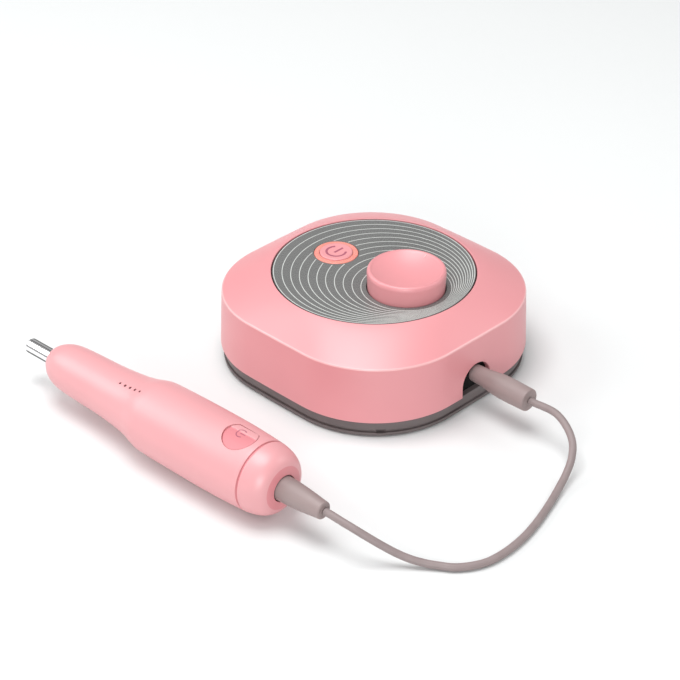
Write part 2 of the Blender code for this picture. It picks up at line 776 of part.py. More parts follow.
def make_knob(looks, base):
    """The knob is a round cap with a dished top. A hub inside it grips the control's shaft."""
    pivot = empty("knob_axis", base, (KNOB_X, KNOB_Y, 0))
    dish_depth = 2.6
    dish_radius = 12.4
    dish = []
    dish_steps = 4
    for i in range(dish_steps):
        radius = dish_radius * (1 - i / dish_steps)
        dish.append((KNOB_TOP - 0.5 - dish_depth * (1 - (radius / dish_radius) ** 2), radius))
    profile = [
        (KNOB_BOTTOM, 12.3),
        (KNOB_BOTTOM, KNOB_BASE_RADIUS),
        (KNOB_TOP - 1.4, KNOB_RIM_RADIUS + 0.1),
        (KNOB_TOP - 0.4, KNOB_RIM_RADIUS - 0.25),
        (KNOB_TOP, KNOB_RIM_RADIUS - 0.8),
        *dish,
        (KNOB_TOP - 0.5 - dish_depth, 0),
        (36.4, 0),
        (36.4, POT_SHAFT_RADIUS + 0.15),
        (34.8, POT_SHAFT_RADIUS + 0.15),
        (34.8, 5.2),
        (36.0, 5.6),
        (36.0, 12.3),
    ]
    turned("speed_knob", profile, pivot, looks["pink_shell"])
    shaft = [(26.4, 0), (26.4, POT_SHAFT_RADIUS), (36.1, POT_SHAFT_RADIUS), (36.1, 0)]
    turned("potentiometer_shaft", shaft, pivot, looks["steel"], steps=SMALL_STEPS)


def make_power_button(looks, base):
    pivot = empty("power_button_axis", base, (BUTTON_X, BUTTON_Y, 0))
    profile = [
        (28.0, 0),
        (28.0, 1.8),
        (28.9, 1.8),
        (28.9, 7.0),
        (FLOOR_BOTTOM - GAP, 7.0),
        (FLOOR_BOTTOM - GAP, BUTTON_RADIUS),
        (BUTTON_TOP - 0.4, BUTTON_RADIUS),
        (BUTTON_TOP, BUTTON_RADIUS - 0.4),
        (BUTTON_TOP, 0),
    ]
    turned("power_button", profile, pivot, looks["pink_shell"])


# --- Plug and cord --------------------------------------------------------------------------
def make_plug(looks, base):
    pivot = empty("plug_axis", base, (0, 0, PLUG_Z))
    grip = [
        (PLUG_INNER_X, 0),
        (PLUG_INNER_X, 2.9),
        (49.0, 3.15),
        (54.0, 3.3),
        (57.5, 3.8),
        (61.0, 4.15),
        (66.0, 4.25),
        (PLUG_OUTER_X - 0.4, 4.1),
        (PLUG_OUTER_X, 3.8),
        (PLUG_OUTER_X, 0),
    ]
    turned("plug_grip", grip, pivot, looks["mauve_rubber"], "X", 28)
    pin_end = PLUG_INNER_X - GAP
    pin = [
        (PIN_TIP_X, 0),
        (PIN_TIP_X + 0.3, 0.9),
        (PIN_TIP_X + 1.6, PIN_RADIUS - 0.1),
        (PIN_TIP_X + 3.0, 1.1),
        (PIN_TIP_X + 4.0, PIN_RADIUS),
        (pin_end, PIN_RADIUS),
        (pin_end, 0),
    ]
    turned("plug_pin", pin, pivot, looks["chrome"], "X", SMALL_STEPS)


def smooth_curve(points, step):
    """Points a step apart along one smooth curve that passes through the given ones
    (a centripetal Catmull-Rom spline)."""
    given = [Vector(point) for point in points]
    given = [2 * given[0] - given[1], *given, 2 * given[-1] - given[-2]]
    dense = []
    for p0, p1, p2, p3 in zip(given, given[1:], given[2:], given[3:]):
        t1 = math.sqrt((p1 - p0).length)
        t2 = t1 + math.sqrt((p2 - p1).length)
        t3 = t2 + math.sqrt((p3 - p2).length)
        for i in range(16):
            t = t1 + (t2 - t1) * i / 16
            a1 = p0.lerp(p1, t / t1)
            a2 = p1.lerp(p2, (t - t1) / (t2 - t1))
            a3 = p2.lerp(p3, (t - t2) / (t3 - t2))
            b1 = a1.lerp(a2, t / t2)
            b2 = a2.lerp(a3, (t - t1) / (t3 - t1))
            dense.append(b1.lerp(b2, (t - t1) / (t2 - t1)))
    dense.append(given[-2])
    spans = [(b - a).length for a, b in zip(dense, dense[1:])]
    count = max(2, round(sum(spans) / step))
    spaced, walked, here = [dense[0]], 0.0, 0
    for i in range(1, count):
        target = sum(spans) * i / count
        while walked + spans[here] < target:
            walked += spans[here]
            here += 1
        spaced.append(dense[here].lerp(dense[here + 1], (target - walked) / spans[here]))
    return [*spaced, dense[-1]]


def tube(name, points, diameter, look, parent=None):
    """A round cable along the points, with closed ends."""
    curve = bpy.data.curves.new(name, "CURVE")
    curve.dimensions = "3D"
    curve.bevel_depth = diameter / 2 * MM
    curve.bevel_resolution = 2
    curve.use_fill_caps = True
    spline = curve.splines.new("POLY")
    spline.points.add(len(points) - 1)
    for target, point in zip(spline.points, points):
        target.co = (*(point * MM), 1.0)
    curve.materials.append(look)
    cable = bpy.data.objects.new(name, curve)
    cable.parent = parent
    bpy.context.scene.collection.objects.link(cable)


# --- Handpiece pieces -----------------------------------------------------------------------
def d_outline(grow=0.0):
    """The handpiece button's outline, seen along its press direction: round towards the chuck
    and the user, and cut straight along the far side. Its corners stay a little rounded."""
    radius = HAND_BUTTON_RADIUS + grow
    flat = HAND_BUTTON_FLAT + grow
    start = math.asin(flat / radius)
    steps = 28
    sweep = math.pi + 2 * start
    turns = [start - sweep * i / steps for i in range(steps + 1)]
    return [(radius * math.cos(t), radius * math.sin(t)) for t in turns]


def make_housing(axis, button_axis, lights_axis, look):
    housing = turned("handpiece_housing", HOUSING_OUTSIDE + HOUSING_INSIDE, axis, look, "X")
    opening = prism(
        "hand_button_opening",
        d_outline(GAP),
        lambda u, v, w: (u, v, w),
        HAND_BUTTON_BACK - 2.0,
        16.0,
        button_axis,
        hidden=True,
    )
    boolean(housing, "DIFFERENCE", opening)
    for number in range(LIGHTS_COUNT):
        place = (LIGHTS_START + number * LIGHTS_PITCH, 0)
        radius = LIGHT_RADIUS + 0.15
        window = rod_shape(f"light_window_{number}", 8.0, 13.0, radius, lights_axis, place, 8)
        boolean(housing, "DIFFERENCE", window)


def outside_radius(place):
    """The housing's outer radius at a distance from the tip."""
    for (s0, r0), (s1, r1) in zip(HOUSING_OUTSIDE, HOUSING_OUTSIDE[1:]):
        if s0 <= place <= s1:
            return r0 + (r1 - r0) * (place - s0) / (s1 - s0)
    return HOUSING_OUTSIDE[-1][1]


def make_lights(lights_axis, look):
    """One clear light guide: a bar inside the neck with a pip up to each window."""
    last = LIGHTS_START + (LIGHTS_COUNT - 1) * LIGHTS_PITCH
    low, high = (LIGHTS_START - 1.2, -0.9, 7.0), (last + 1.2, 0.9, 7.9)
    bar = block("indicator_light_guide", low, high, lights_axis, look)
    for number in range(LIGHTS_COUNT):
        place = LIGHTS_START + number * LIGHTS_PITCH
        top = outside_radius(place) - 0.12
        pip = rod_shape(f"light_pip_{number}", 7.5, top, LIGHT_RADIUS, lights_axis, (place, 0), 8)
        boolean(bar, "UNION", pip)


def make_tail(axis, looks):
    spigot = [
        (TAIL_CAP_START, TAIL_SPIGOT_BORE),
        (TAIL_SPIGOT_START, TAIL_SPIGOT_BORE),
        (TAIL_SPIGOT_START, TAIL_SPIGOT_RADIUS),
        (TAIL_SHOULDER_START, TAIL_SPIGOT_RADIUS),
        (TAIL_SHOULDER_START, TAIL_SHOULDER_RADIUS),
        (TAIL_CAP_START, TAIL_SHOULDER_RADIUS),
    ]
    profile = TAIL_CAP_OUTSIDE + TAIL_CAP_INSIDE + spigot
    turned("tail_cap", profile, axis, looks["pink_shell"], "X")
    flange_end = STRAIN_FLANGE_START + 1.6
    relief = [
        (STRAIN_FLANGE_START, 0),
        (STRAIN_FLANGE_START, STRAIN_FLANGE_RADIUS),
        (flange_end, STRAIN_FLANGE_RADIUS),
        (flange_end, STRAIN_NECK_RADIUS),
        *STRAIN_RELIEF,
        (STRAIN_RELIEF[-1][0], 0),
    ]
    turned("cord_strain_relief", relief, axis, looks["mauve_rubber"], "X", 24)


def make_motor(axis, looks):
    inner = MOTOR_RADIUS - MOTOR_WALL
    can = [
        (MOTOR_START, 1.8),
        (MOTOR_START, MOTOR_RADIUS),
        (MOTOR_END, MOTOR_RADIUS),
        (MOTOR_END, inner),
        (MOTOR_START + MOTOR_WALL, inner),
        (MOTOR_START + MOTOR_WALL, 1.8),
    ]
    turned("motor_can", can, axis, looks["steel"], "X", 28)
    magnet_start, magnet_end = MOTOR_START + 3.0, MOTOR_END - 3.0
    for name, start in (("upper", 30), ("lower", 210)):
        steps = 8
        turns = [math.radians(start + 120 * i / steps) for i in range(steps + 1)]
        outline = [((inner - GAP) * math.cos(t), (inner - GAP) * math.sin(t)) for t in turns]
        thin = inner - 1.9
        outline += [(thin * math.cos(t), thin * math.sin(t)) for t in reversed(turns)]
        prism(
            f"motor_magnet_{name}",
            outline,
            lambda u, v, w: (w, u, v),
            magnet_start,
            magnet_end,
            axis,
            looks["dark_rubber"],
        )
    bell = [
        (MOTOR_END + GAP, 1.3),
        (MOTOR_END + GAP, MOTOR_RADIUS),
        (MOTOR_END + 2.3, MOTOR_RADIUS),
        (MOTOR_END + 2.3, 3.0),
        (MOTOR_END + 3.3, 3.0),
        (MOTOR_END + 3.3, 1.3),
    ]
    turned("motor_end_bell", bell, axis, looks["black_plastic"], "X", 28)


def make_bearing_tube(axis, looks):
    profile = [(25.0, 5.4), (25.0, 6.4), (49.5, 6.4), (49.5, 5.4)]
    turned("bearing_tube", profile, axis, looks["steel"], "X", 24)
    for name, start in BEARING_PLACES.items():
        end = start + BEARING_WIDTH
        ring = [(start, 4.2), (start, 5.1), (end, 5.1), (end, 4.2)]
        turned(f"{name}_bearing_outer_race", ring, axis, looks["steel"], "X", 24)


def make_hand_switch(button_axis, looks):
    block("handpiece_switch_board", (-6.5, -5.0, 5.4), (6.0, 5.0, 6.4), button_axis, looks["circuit_board"])
    profile = [(6.7, 0), (6.7, 2.6), (8.6, 2.6), (8.6, 1.3), (9.6, 1.3), (9.6, 0)]
    turned("handpiece_switch", profile, button_axis, looks["black_plastic"], steps=12)


def make_hand_button(axis, button_axis, look):
    press = empty("hand_button_press_axis", button_axis)
    button = prism(
        "handpiece_button", d_outline(), lambda u, v, w: (u, v, w), HAND_BUTTON_BACK, 15.0, press, look
    )
    start, end = HAND_BUTTON_PLACE - 9, HAND_BUTTON_PLACE + 9
    round_face = [(start, 0), (start, HAND_BUTTON_FACE), (end, HAND_BUTTON_FACE - 0.35), (end, 0)]
    form = turned("hand_button_face_shape", round_face, axis, None, "X", 48, hidden=True)
    boolean(button, "INTERSECT", form)


def make_spindle(axis, looks):
    spin = empty("spindle_axis", axis)
    sleeve = [
        (0.0, CHUCK_BORE),
        (0.0, CHUCK_RADIUS - 0.25),
        (0.25, CHUCK_RADIUS),
        (CHUCK_END, CHUCK_RADIUS),
        (CHUCK_END, CHUCK_BORE),
    ]
    turned("chuck_sleeve", sleeve, spin, looks["chrome"], "X", 28)
    collet = [(0.6, BIT_BORE), (0.6, 1.75), (14.0, 1.75), (14.0, BIT_BORE)]
    turned("collet", collet, spin, looks["steel"], "X", SMALL_STEPS)
    shaft = [
        (15.0, 0),
        (15.0, 1.7),
        (CHUCK_END + GAP, 1.7),
        (CHUCK_END + GAP, 2.3),
        (57.0, 2.3),
        (57.0, 0),
    ]
    turned("spindle_shaft", shaft, spin, looks["steel"], "X", SMALL_STEPS)
    for name, start in BEARING_PLACES.items():
        end = start + BEARING_WIDTH
        ring = [(start, 2.6), (start, 3.6), (end, 3.6), (end, 2.6)]
        turned(f"{name}_bearing_inner_race", ring, spin, looks["steel"], "X", SMALL_STEPS)
    coupling = [(53.5, 2.6), (53.5, 4.2), (61.5, 4.2), (61.5, 1.3), (57.3, 1.3), (57.3, 2.6)]
    turned("shaft_coupling", coupling, spin, looks["brass"], "X", SMALL_STEPS)
    rotor = [
        (57.6, 0),
        (57.6, 1.0),
        (MOTOR_START + 4.0, 1.0),
        (MOTOR_START + 4.0, 7.3),
        (MOTOR_END - 6.0, 7.3),
        (MOTOR_END - 6.0, 2.4),
        (MOTOR_END - 1.0, 2.4),
        (MOTOR_END - 1.0, 1.0),
        (MOTOR_END + 3.0, 1.0),
        (MOTOR_END + 3.0, 0),
    ]
    turned("motor_rotor", rotor, spin, looks["copper"], "X", 24)


def clear_scene():
    for obj in list(bpy.data.objects):
        bpy.data.objects.remove(obj, do_unlink=True)


def main():
    clear_scene()
    looks = make_materials()
    base = empty("base_frame", location=BASE_CENTRE)
    make_cover(base, looks["pink_shell"])
    make_tray(base, looks["dark_tray"])
    make_feet_and_screws(base, looks)
    make_dial(base, looks)
    make_board(base, looks)
    make_speed_control(base, looks)
    make_power_switch(base, looks)
    make_batteries(base, looks)
    make_sockets(base, looks)
    make_knob(looks, base)
    make_power_button(looks, base)
    make_plug(looks, base)
    tube("handpiece_cord", smooth_curve(CORD_ROUTE, CORD_STEP), CORD_DIAMETER, looks["mauve_rubber"])

    axis = empty("handpiece_axis", location=HANDPIECE_TIP, rotation=(0, 0, HANDPIECE_TURN))
    button_axis = empty("hand_button_axis", axis, (HAND_BUTTON_PLACE, 0, 0), (HAND_BUTTON_TILT, 0, 0))
    lights_axis = empty("lights_axis", axis, rotation=(LIGHTS_TILT, 0, 0))
    make_housing(axis, button_axis, lights_axis, looks["pink_shell"])
    make_lights(lights_axis, looks["coral_light"])
    make_tail(axis, looks)
    make_motor(axis, looks)
    make_bearing_tube(axis, looks)
    make_hand_switch(button_axis, looks)
    make_hand_button(axis, button_axis, looks["pink_shell"])
    make_spindle(axis, looks)
    make_leads(base, axis, looks)


main()
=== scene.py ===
"""The looks of the electric nail drill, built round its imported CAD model.

Shapes are in millimetres, in one of five placing frames: the base's, the plug's, the handpiece's,
its button's and its lights'. The cord's route, the lights and the camera are in metres, in the row frame.
"""

import json
import math

import bmesh
import bpy
from mathutils import Matrix, Vector


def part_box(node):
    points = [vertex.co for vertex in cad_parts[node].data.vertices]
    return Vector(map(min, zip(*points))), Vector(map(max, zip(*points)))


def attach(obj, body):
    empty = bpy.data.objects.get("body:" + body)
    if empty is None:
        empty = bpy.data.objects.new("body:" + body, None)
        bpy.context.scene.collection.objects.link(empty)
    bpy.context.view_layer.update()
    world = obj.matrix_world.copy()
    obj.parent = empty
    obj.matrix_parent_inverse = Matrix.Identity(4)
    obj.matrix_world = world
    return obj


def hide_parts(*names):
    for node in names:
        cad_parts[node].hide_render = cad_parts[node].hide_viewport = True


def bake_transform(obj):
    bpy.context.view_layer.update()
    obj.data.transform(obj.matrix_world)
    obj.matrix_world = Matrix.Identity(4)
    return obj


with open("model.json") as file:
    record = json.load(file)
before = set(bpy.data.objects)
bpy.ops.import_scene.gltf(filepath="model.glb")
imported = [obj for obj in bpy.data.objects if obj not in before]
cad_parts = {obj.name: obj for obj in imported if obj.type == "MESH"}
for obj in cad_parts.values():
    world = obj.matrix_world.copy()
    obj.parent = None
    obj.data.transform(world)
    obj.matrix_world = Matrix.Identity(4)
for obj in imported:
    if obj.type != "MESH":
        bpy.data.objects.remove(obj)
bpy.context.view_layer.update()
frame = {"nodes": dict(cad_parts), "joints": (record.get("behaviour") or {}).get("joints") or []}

MM = 0.001
MICRON = 0.000001
WELD = 1e-7
THROUGH = 1.0  # how far a cutting shape runs past the wall that it cuts

# --- Camera
CAMERA_PLACE = (0.4380, -0.4296, 0.41056)
CAMERA_AIM = (-0.58997, 0.59979, -0.54054)
CAMERA_LENS = 109.07
CAMERA_SENSOR = 36.0

# --- Light: the softboxes' places and sizes in metres, and their powers in watts
LIT_PLACE = Vector((0.0, -0.02, 0.02))
TENT_STRENGTH = 0.42
SOFTBOXES = [
    ("top_softbox", (-0.1, -0.12, 1.05), 0.62, 8.1),
    ("left_softbox", (-0.76, -0.50, 0.62), 0.6, 4.0),
    ("front_softbox", (0.62, -0.74, 0.33), 0.4, 3.9),
    ("rear_softbox", (0.5, 0.6, 0.58), 0.3, 1.1),
]

# --- Cord: the same route as the CAD's, from the strain relief to the plug
CORD_ROUTE = [
    (0.0716, -0.0637, 0.0135), (0.0738, -0.0636, 0.0135), (0.0774, -0.0635, 0.0133),
    (0.0826, -0.0625, 0.0122), (0.0869, -0.0605, 0.0100), (0.0907, -0.0579, 0.0073),
    (0.0945, -0.0553, 0.0049), (0.0982, -0.0527, 0.0031), (0.1019, -0.0500, 0.0020),
    (0.1055, -0.0473, 0.0015), (0.1093, -0.0446, 0.0014), (0.1127, -0.0403, 0.0014),
    (0.1151, -0.0349, 0.0014), (0.1159, -0.0275, 0.0014), (0.1152, -0.0183, 0.0014),
    (0.1132, -0.0090, 0.0014), (0.1102, 0.0007, 0.0015), (0.1071, 0.0096, 0.0021),
    (0.1049, 0.0163, 0.0038), (0.1029, 0.0212, 0.0065), (0.1001, 0.0247, 0.0096),
    (0.0952, 0.0274, 0.0122), (0.0889, 0.0293, 0.0136), (0.0829, 0.0294, 0.0136),
    (0.0802, 0.0293, 0.0134), (0.0777, 0.02928, 0.0133),
]
CORD_DIAMETER = 0.0026
CORD_STEP = 0.001

# --- Base
BASE_HALF = 50.0
CORNER_RADIUS = 36.6
SIDE_BOW = 1.2
WALL_DRAFT = 0.85
COVER_BOTTOM = 5.0
COVER_EDGE = 26.2
COVER_TOP = 33.5
COVER_WALL = 2.0
CROWN = 1.15
EDGE_SOFTNESS = 0.45  # how far the rounding of the cover's edge reaches on each side
RIM_SOFTNESS = 0.35
SIDE_STEPS = 16
CORNER_STEPS = 40
FLOOR_TOP = 31.7
FLOOR_BOTTOM = 30.0
RECESS_RADIUS = 36.8
PLATE_RADIUS = 36.3
PLATE_BOTTOM = 32.0
PLATE_TOP = 33.2
TRAY_BOTTOM = 1.0
TRAY_TOP = 4.7
TRAY_INSET = 1.2
RIM_BOTTOM = -0.9
RIM_TOP = 0.5
RIM_INSET = 0.9
RIM_WALL = 2.6
GROOVE_TOP = 1.3
GROOVE_INSET = 1.7
PRY_SLOT = (39.8, -37.8)
PRY_SLOT_RADIUS = 2.0
TRAY_FLOOR_TOP = 3.0
TRAY_LIP_TOP = 8.0
TRAY_LIP_INSET = 2.3
TRAY_LIP_WALL = 1.4
LIP_GAP_HALF = 8.6
BOSS_REACH = 27.0
BOSS_RADIUS, BOSS_BORE_RADIUS = 3.2, 1.4
BOSS_SPAN, BOSS_BORE_SPAN = (4.1, 29.2), (0, 14.0)
POST_RADIUS, POST_BORE_RADIUS = 2.3, 1.1
POST_SPAN, POST_BORE_SPAN = (24.1, 30.8), (23.8, 28.5)
SHAFT_HOLE_RADIUS = 4.6
STEM_HOLE_RADIUS = 6.3
SLOT_HALF_LENGTH, SLOT_HALF_HEIGHT = 5.0, 2.2  # the charging slot in the rear wall
FOOT_BOTTOM = -1.3
FOOT_REACH = 33.0
FOOT_RADIUS = 3.8
FOOT_TOP = 0.7
POST_REACH = {"front_left": (-24.0, -20.5), "front_right": (26.0, -20.5)}
POST_REACH |= {"rear_left": (-24.0, 20.5), "rear_right": (26.0, 20.5)}
NOTCH_HALF = 7.0
NOTCH_CENTRE_Z = 9.0
PLUG_Z = 12.0

# --- Dial
KNOB_HOLE_RADIUS = 14.2
RING_RADIUS = 8.05
RING_HOLE_RADIUS = 8.2
# the top of the dark rings of painted shade below the dial's gaps
GAP_SHADE_TOP = 31.95
BUTTON_RADIUS = 6.0
BUTTON_TOP = 33.9
LINE_COUNT = 11
LINE_OUTER_RADIUS = 35.9
LINE_INNER_RADIUS = 16.0
LINE_WIDTH = 0.3
LINE_HEIGHT = 0.03

# --- Handpiece: places are distances from the chuck's tip
HOUSING_OUTSIDE = [
    (13.0, 3.9), (13.5, 4.7), (14.4, 5.5), (16.2, 6.7), (18.6, 7.75), (21.5, 8.4), (26.0, 8.8),
    (33.0, 9.05), (42.0, 9.35), (49.0, 9.85), (55.0, 10.5), (59.5, 11.3), (63.0, 12.3),
    (65.6, 12.85), (69.5, 13.05), (78.0, 13.2), (90.0, 13.3), (102.0, 13.2), (110.0, 12.88),
    (114.9, 12.6),
]
TAIL_OUTSIDE = [
    (116.25, 12.52), (118.0, 12.22), (120.0, 11.72), (121.8, 10.97), (123.2, 9.95), (124.1, 8.85),
    (124.6, 7.7),
]
SEAM_END = 116.0
TAIL_FACE = 124.6
LIGHTS_START = 52.1
LIGHTS_PITCH = 2.65
LIGHTS_COUNT = 5
LIGHTS_TILT = math.radians(22.5)
WINDOW_RADIUS = 0.55
HAND_BUTTON_RADIUS = 6.0
HAND_BUTTON_FLAT = 4.3
HAND_BUTTON_FACE = 13.05
HAND_BUTTON_BACK = 10.6
SCOOP_EDGE = 1.6  # the ridge across the button, beyond its middle

# Painted reflections: dark streaks painted round the chrome, each (middle and half width as shares of a
# turn, shade).
PAINTED_REFLECTION_STREAKS = [
    (0.022, 0.009, 0.30), (0.328, 0.055, 0.02), (0.550, 0.012, 0.20), (0.720, 0.014, 0.15),
    (0.925, 0.030, 0.12),
]

ROUND_STEPS = 144
SMALL_STEPS = 64


# --- Placing frames
JOINTS = {joint["name"]: joint for joint in frame["joints"]}


def axis_frame(origin, along, up):
    """The place of a frame whose X runs along one direction and whose Z lies nearest to another."""
    x = Vector(along).normalized()
    y = Vector(up).cross(x).normalized()
    turn = Matrix((x, y, x.cross(y))).transposed().to_4x4()
    return Matrix.Translation(origin) @ turn


def middle_of(node):
    low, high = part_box(node)
    return (low + high) / 2


COVER_MIDDLE = middle_of("top_cover")
BASE_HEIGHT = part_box("dial_plate")[1].z - PLATE_TOP * MM
BASE = Matrix.Translation((COVER_MIDDLE.x, COVER_MIDDLE.y, BASE_HEIGHT))
PLUG = BASE @ Matrix.Translation((0, 0, PLUG_Z * MM))
KNOB_PLACE = BASE.inverted() @ Vector(JOINTS["knob_turn"]["pos_m"]) / MM
KNOB_FLAT = Vector((KNOB_PLACE.x, KNOB_PLACE.y, 0))
BUTTON_PLACE = BASE.inverted() @ middle_of("power_button") / MM
SPINDLE = JOINTS["spindle_spin"]
HANDPIECE = axis_frame(SPINDLE["pos_m"], SPINDLE["axis"], (0, 0, 1))
HAND_BUTTON_PLACE = (HANDPIECE.inverted() @ middle_of("handpiece_button")).x / MM
HAND_BUTTON = axis_frame(
    HANDPIECE @ Vector((HAND_BUTTON_PLACE * MM, 0, 0)),
    SPINDLE["axis"],
    -Vector(JOINTS["handpiece_button_press"]["axis"]),
)
LIGHTS = HANDPIECE @ Matrix.Rotation(LIGHTS_TILT, 4, "X")


# --- Camera and cord come first
def aimed(name, data, place, aim):
    """A camera or a lamp at a place, turned to look in a direction."""
    holder = bpy.data.objects.new(name, data)
    holder.location = place
    holder.rotation_euler = Vector(aim).to_track_quat("-Z", "Y").to_euler()
    bpy.context.scene.collection.objects.link(holder)
    return holder


def make_camera():
    camera = bpy.data.cameras.new("camera")
    camera.lens = CAMERA_LENS
    camera.sensor_width = CAMERA_SENSOR
    camera.clip_start = 0.01
    bpy.context.scene.camera = aimed("camera", camera, CAMERA_PLACE, CAMERA_AIM)


def smooth_curve(points, step):
    """Points a step apart along one smooth curve that passes through the given ones
    (a centripetal Catmull-Rom spline)."""
    given = [Vector(point) for point in points]
    given = [2 * given[0] - given[1], *given, 2 * given[-1] - given[-2]]
    pieces = 16
    dense = []
    for p0, p1, p2, p3 in zip(given, given[1:], given[2:], given[3:]):
        t1 = math.sqrt((p1 - p0).length)
        t2 = t1 + math.sqrt((p2 - p1).length)
        t3 = t2 + math.sqrt((p3 - p2).length)
        knots = (0.0, t1, t2, t3)
        for i in range(pieces):
            t = t1 + (t2 - t1) * i / pieces
            level = (p0, p1, p2, p3)
            for reach in (1, 2):
                pairs = zip(level, level[1:], knots, knots[reach:])
                level = [a.lerp(b, (t - low) / (high - low)) for a, b, low, high in pairs]
            dense.append(level[0].lerp(level[1], (t - t1) / (t2 - t1)))
    dense.append(given[-2])
    spans = [(b - a).length for a, b in zip(dense, dense[1:])]
    count = max(2, round(sum(spans) / step))
    spaced, walked, here = [dense[0]], 0.0, 0
    for i in range(1, count):
        target = sum(spans) * i / count
        while walked + spans[here] < target:
            walked += spans[here]
            here += 1
        spaced.append(dense[here].lerp(dense[here + 1], (target - walked) / spans[here]))
    return [*spaced, dense[-1]]


# --- Meshes
def arc(radius, start, sweep, steps):
    """Points along an arc, with both its ends."""
    turns = [start + sweep * i / steps for i in range(steps + 1)]
    return [(radius * math.cos(t), radius * math.sin(t)) for t in turns]


def skin(bm, rings, closed=False):
    """Joins rings of vertices in order. A ring of one vertex is a pole."""
    pairs = list(zip(rings, rings[1:]))
    if closed:
        pairs.append((rings[-1], rings[0]))
    for lower, upper in pairs:
        count = max(len(lower), len(upper))
        if count == 1:
            continue
        for i in range(count):
            j = (i + 1) % count
            near = [lower[i % len(lower)], lower[j % len(lower)]]
            far = [upper[j % len(upper)], upper[i % len(upper)]]
            bm.faces.new(dict.fromkeys(near + far))


def rectangle(left, right, half):
    return [(left, -half), (right, -half), (right, half), (left, half)]


def turned(profile, steps=ROUND_STEPS, along="X", centre=(0, 0)):
    """A solid of revolution. The profile is (place along the axis, radius), and it closes on itself
    unless both its ends lie on the axis."""
    bm = bmesh.new()
    rings = []
    for place, radius in profile:
        points = arc(radius, 0, math.tau, steps)[:-1] if radius > 0 else [(0, 0)]
        if along == "X":
            rings.append([bm.verts.new((place, u, v)) for u, v in points])
        else:
            rings.append([bm.verts.new((centre[0] + u, centre[1] + v, place)) for u, v in points])
    skin(bm, rings, closed=profile[0][1] > 0 or profile[-1][1] > 0)
    return bm


def softened(profile, steps=5):
    """A profile whose corners are rounded off. Each corner is (place, radius) or
    (place, radius, how far its rounding reaches)."""
    points = []
    count = len(profile)
    for i, corner in enumerate(profile):
        here = Vector(corner[:2])
        reach = corner[2] if len(corner) > 2 else 0
        if not reach or i in (0, count - 1):
            points.append(tuple(here))
            continue
        back = Vector(profile[i - 1][:2]) - here
        ahead = Vector(profile[i + 1][:2]) - here
        start = here + back.normalized() * reach
        end = here + ahead.normalized() * reach
        for k in range(steps + 1):
            t = k / steps
            points.append(tuple(start.lerp(here, t).lerp(here.lerp(end, t), t)))
    return points


def lathed(profile, *where):
    """A solid of revolution whose marked corners are rounded off."""
    return turned(softened(profile), *where)


def smooth_profile(points, step):
    """A profile drawn as one smooth curve through its points."""
    return [(point.x, point.y) for point in smooth_curve([(*point, 0) for point in points], step)]


def prism(outline, start, end, shift=lambda u, v, w: (u, v, w)):
    """An outline of (u, v) points drawn from start to end along w."""
    return lofted([[shift(u, v, w) for u, v in outline] for w in (start, end)])


def lofted(rings, closed=False):
    """Rings of equally many points joined in order, with both ends capped unless it is closed."""
    bm = bmesh.new()
    loops = [[bm.verts.new(point) for point in ring] for ring in rings]
    skin(bm, loops, closed)
    if not closed:
        bm.faces.new(loops[0])
        bm.faces.new(loops[-1])
    return bm


def heading_at(points, i):
    """The direction of a run of points at one of them."""
    return (points[min(i + 1, len(points) - 1)] - points[max(i - 1, 0)]).normalized()


def merged(*meshes):
    """Several separate closed shapes as one mesh."""
    whole = bmesh.new()
    for part in meshes:
        held = bpy.data.meshes.new("part")
        part.to_mesh(held)
        part.free()
        whole.from_mesh(held)
        bpy.data.meshes.remove(held)
    return whole


def solid(name, bm, place, look=None):
    """An object from a mesh in millimetres, put where its placing frame says."""
    bmesh.ops.remove_doubles(bm, verts=bm.verts, dist=WELD)
    bmesh.ops.recalc_face_normals(bm, faces=bm.faces)
    bm.transform(place @ Matrix.Scale(MM, 4))
    mesh = bpy.data.meshes.new(name)
    bm.to_mesh(mesh)
    bm.free()
    made = bpy.data.objects.new(name, mesh)
    bpy.context.scene.collection.objects.link(made)
    if look:
        mesh.materials.append(look)
    return made


def combine(piece, operation, bm, place):
    """Unites a piece with another closed shape, cuts it by that shape or keeps what they share."""
    shape = solid("shape", bm, place)
    modifier = piece.modifiers.new(operation, "BOOLEAN")
    modifier.operation = operation
    modifier.object = shape
    bpy.context.view_layer.update()
    result = piece.evaluated_get(bpy.context.evaluated_depsgraph_get())
    old = piece.data
    mesh = bpy.data.meshes.new_from_object(result)
    piece.modifiers.clear()
    piece.data = mesh
    mesh.name = old.name
    bpy.data.meshes.remove(old)
    bpy.data.objects.remove(shape)


def settle(piece, body, slot, *stands_for, crease=32):
    """Shades a finished piece and ties it to its CAD body and the CAD nodes it stands for. The slot is not
    used.
    """
    piece.data.shade_smooth()
    piece.data.set_sharp_from_angle(angle=math.radians(crease))
    weighted = piece.modifiers.new("weighted normals", "WEIGHTED_NORMAL")
    weighted.keep_sharp = True
    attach(piece, body)
    if stands_for:
        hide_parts(*stands_for)
    return piece


def paint_faces(piece, look, chosen):
    """Gives those faces of a piece that are chosen a look of their own."""
    piece.data.materials.append(look)
    for face in piece.data.polygons:
        if chosen(face):
            face.material_index = len(piece.data.materials) - 1


def add_piece(name, bm, place, look, body, slot, *stands_for):
    """A finished piece that needs no cutting."""
    return settle(solid(name, bm, place, look), body, slot, *stands_for)


# --- Materials
GRAIN_DETAIL = 3.0
GRAIN_STRENGTH = 0.6


def add_node(tree, kind, inputs=(), **attributes):
    """A shader node whose inputs are plain values or other nodes' outputs."""
    made = tree.nodes.new(kind)
    for name, value in attributes.items():
        setattr(made, name, value)
    for name, value in dict(inputs).items():
        if isinstance(value, bpy.types.NodeSocket):
            tree.links.new(value, made.inputs[name])
        else:
            made.inputs[name].default_value = value
    return made


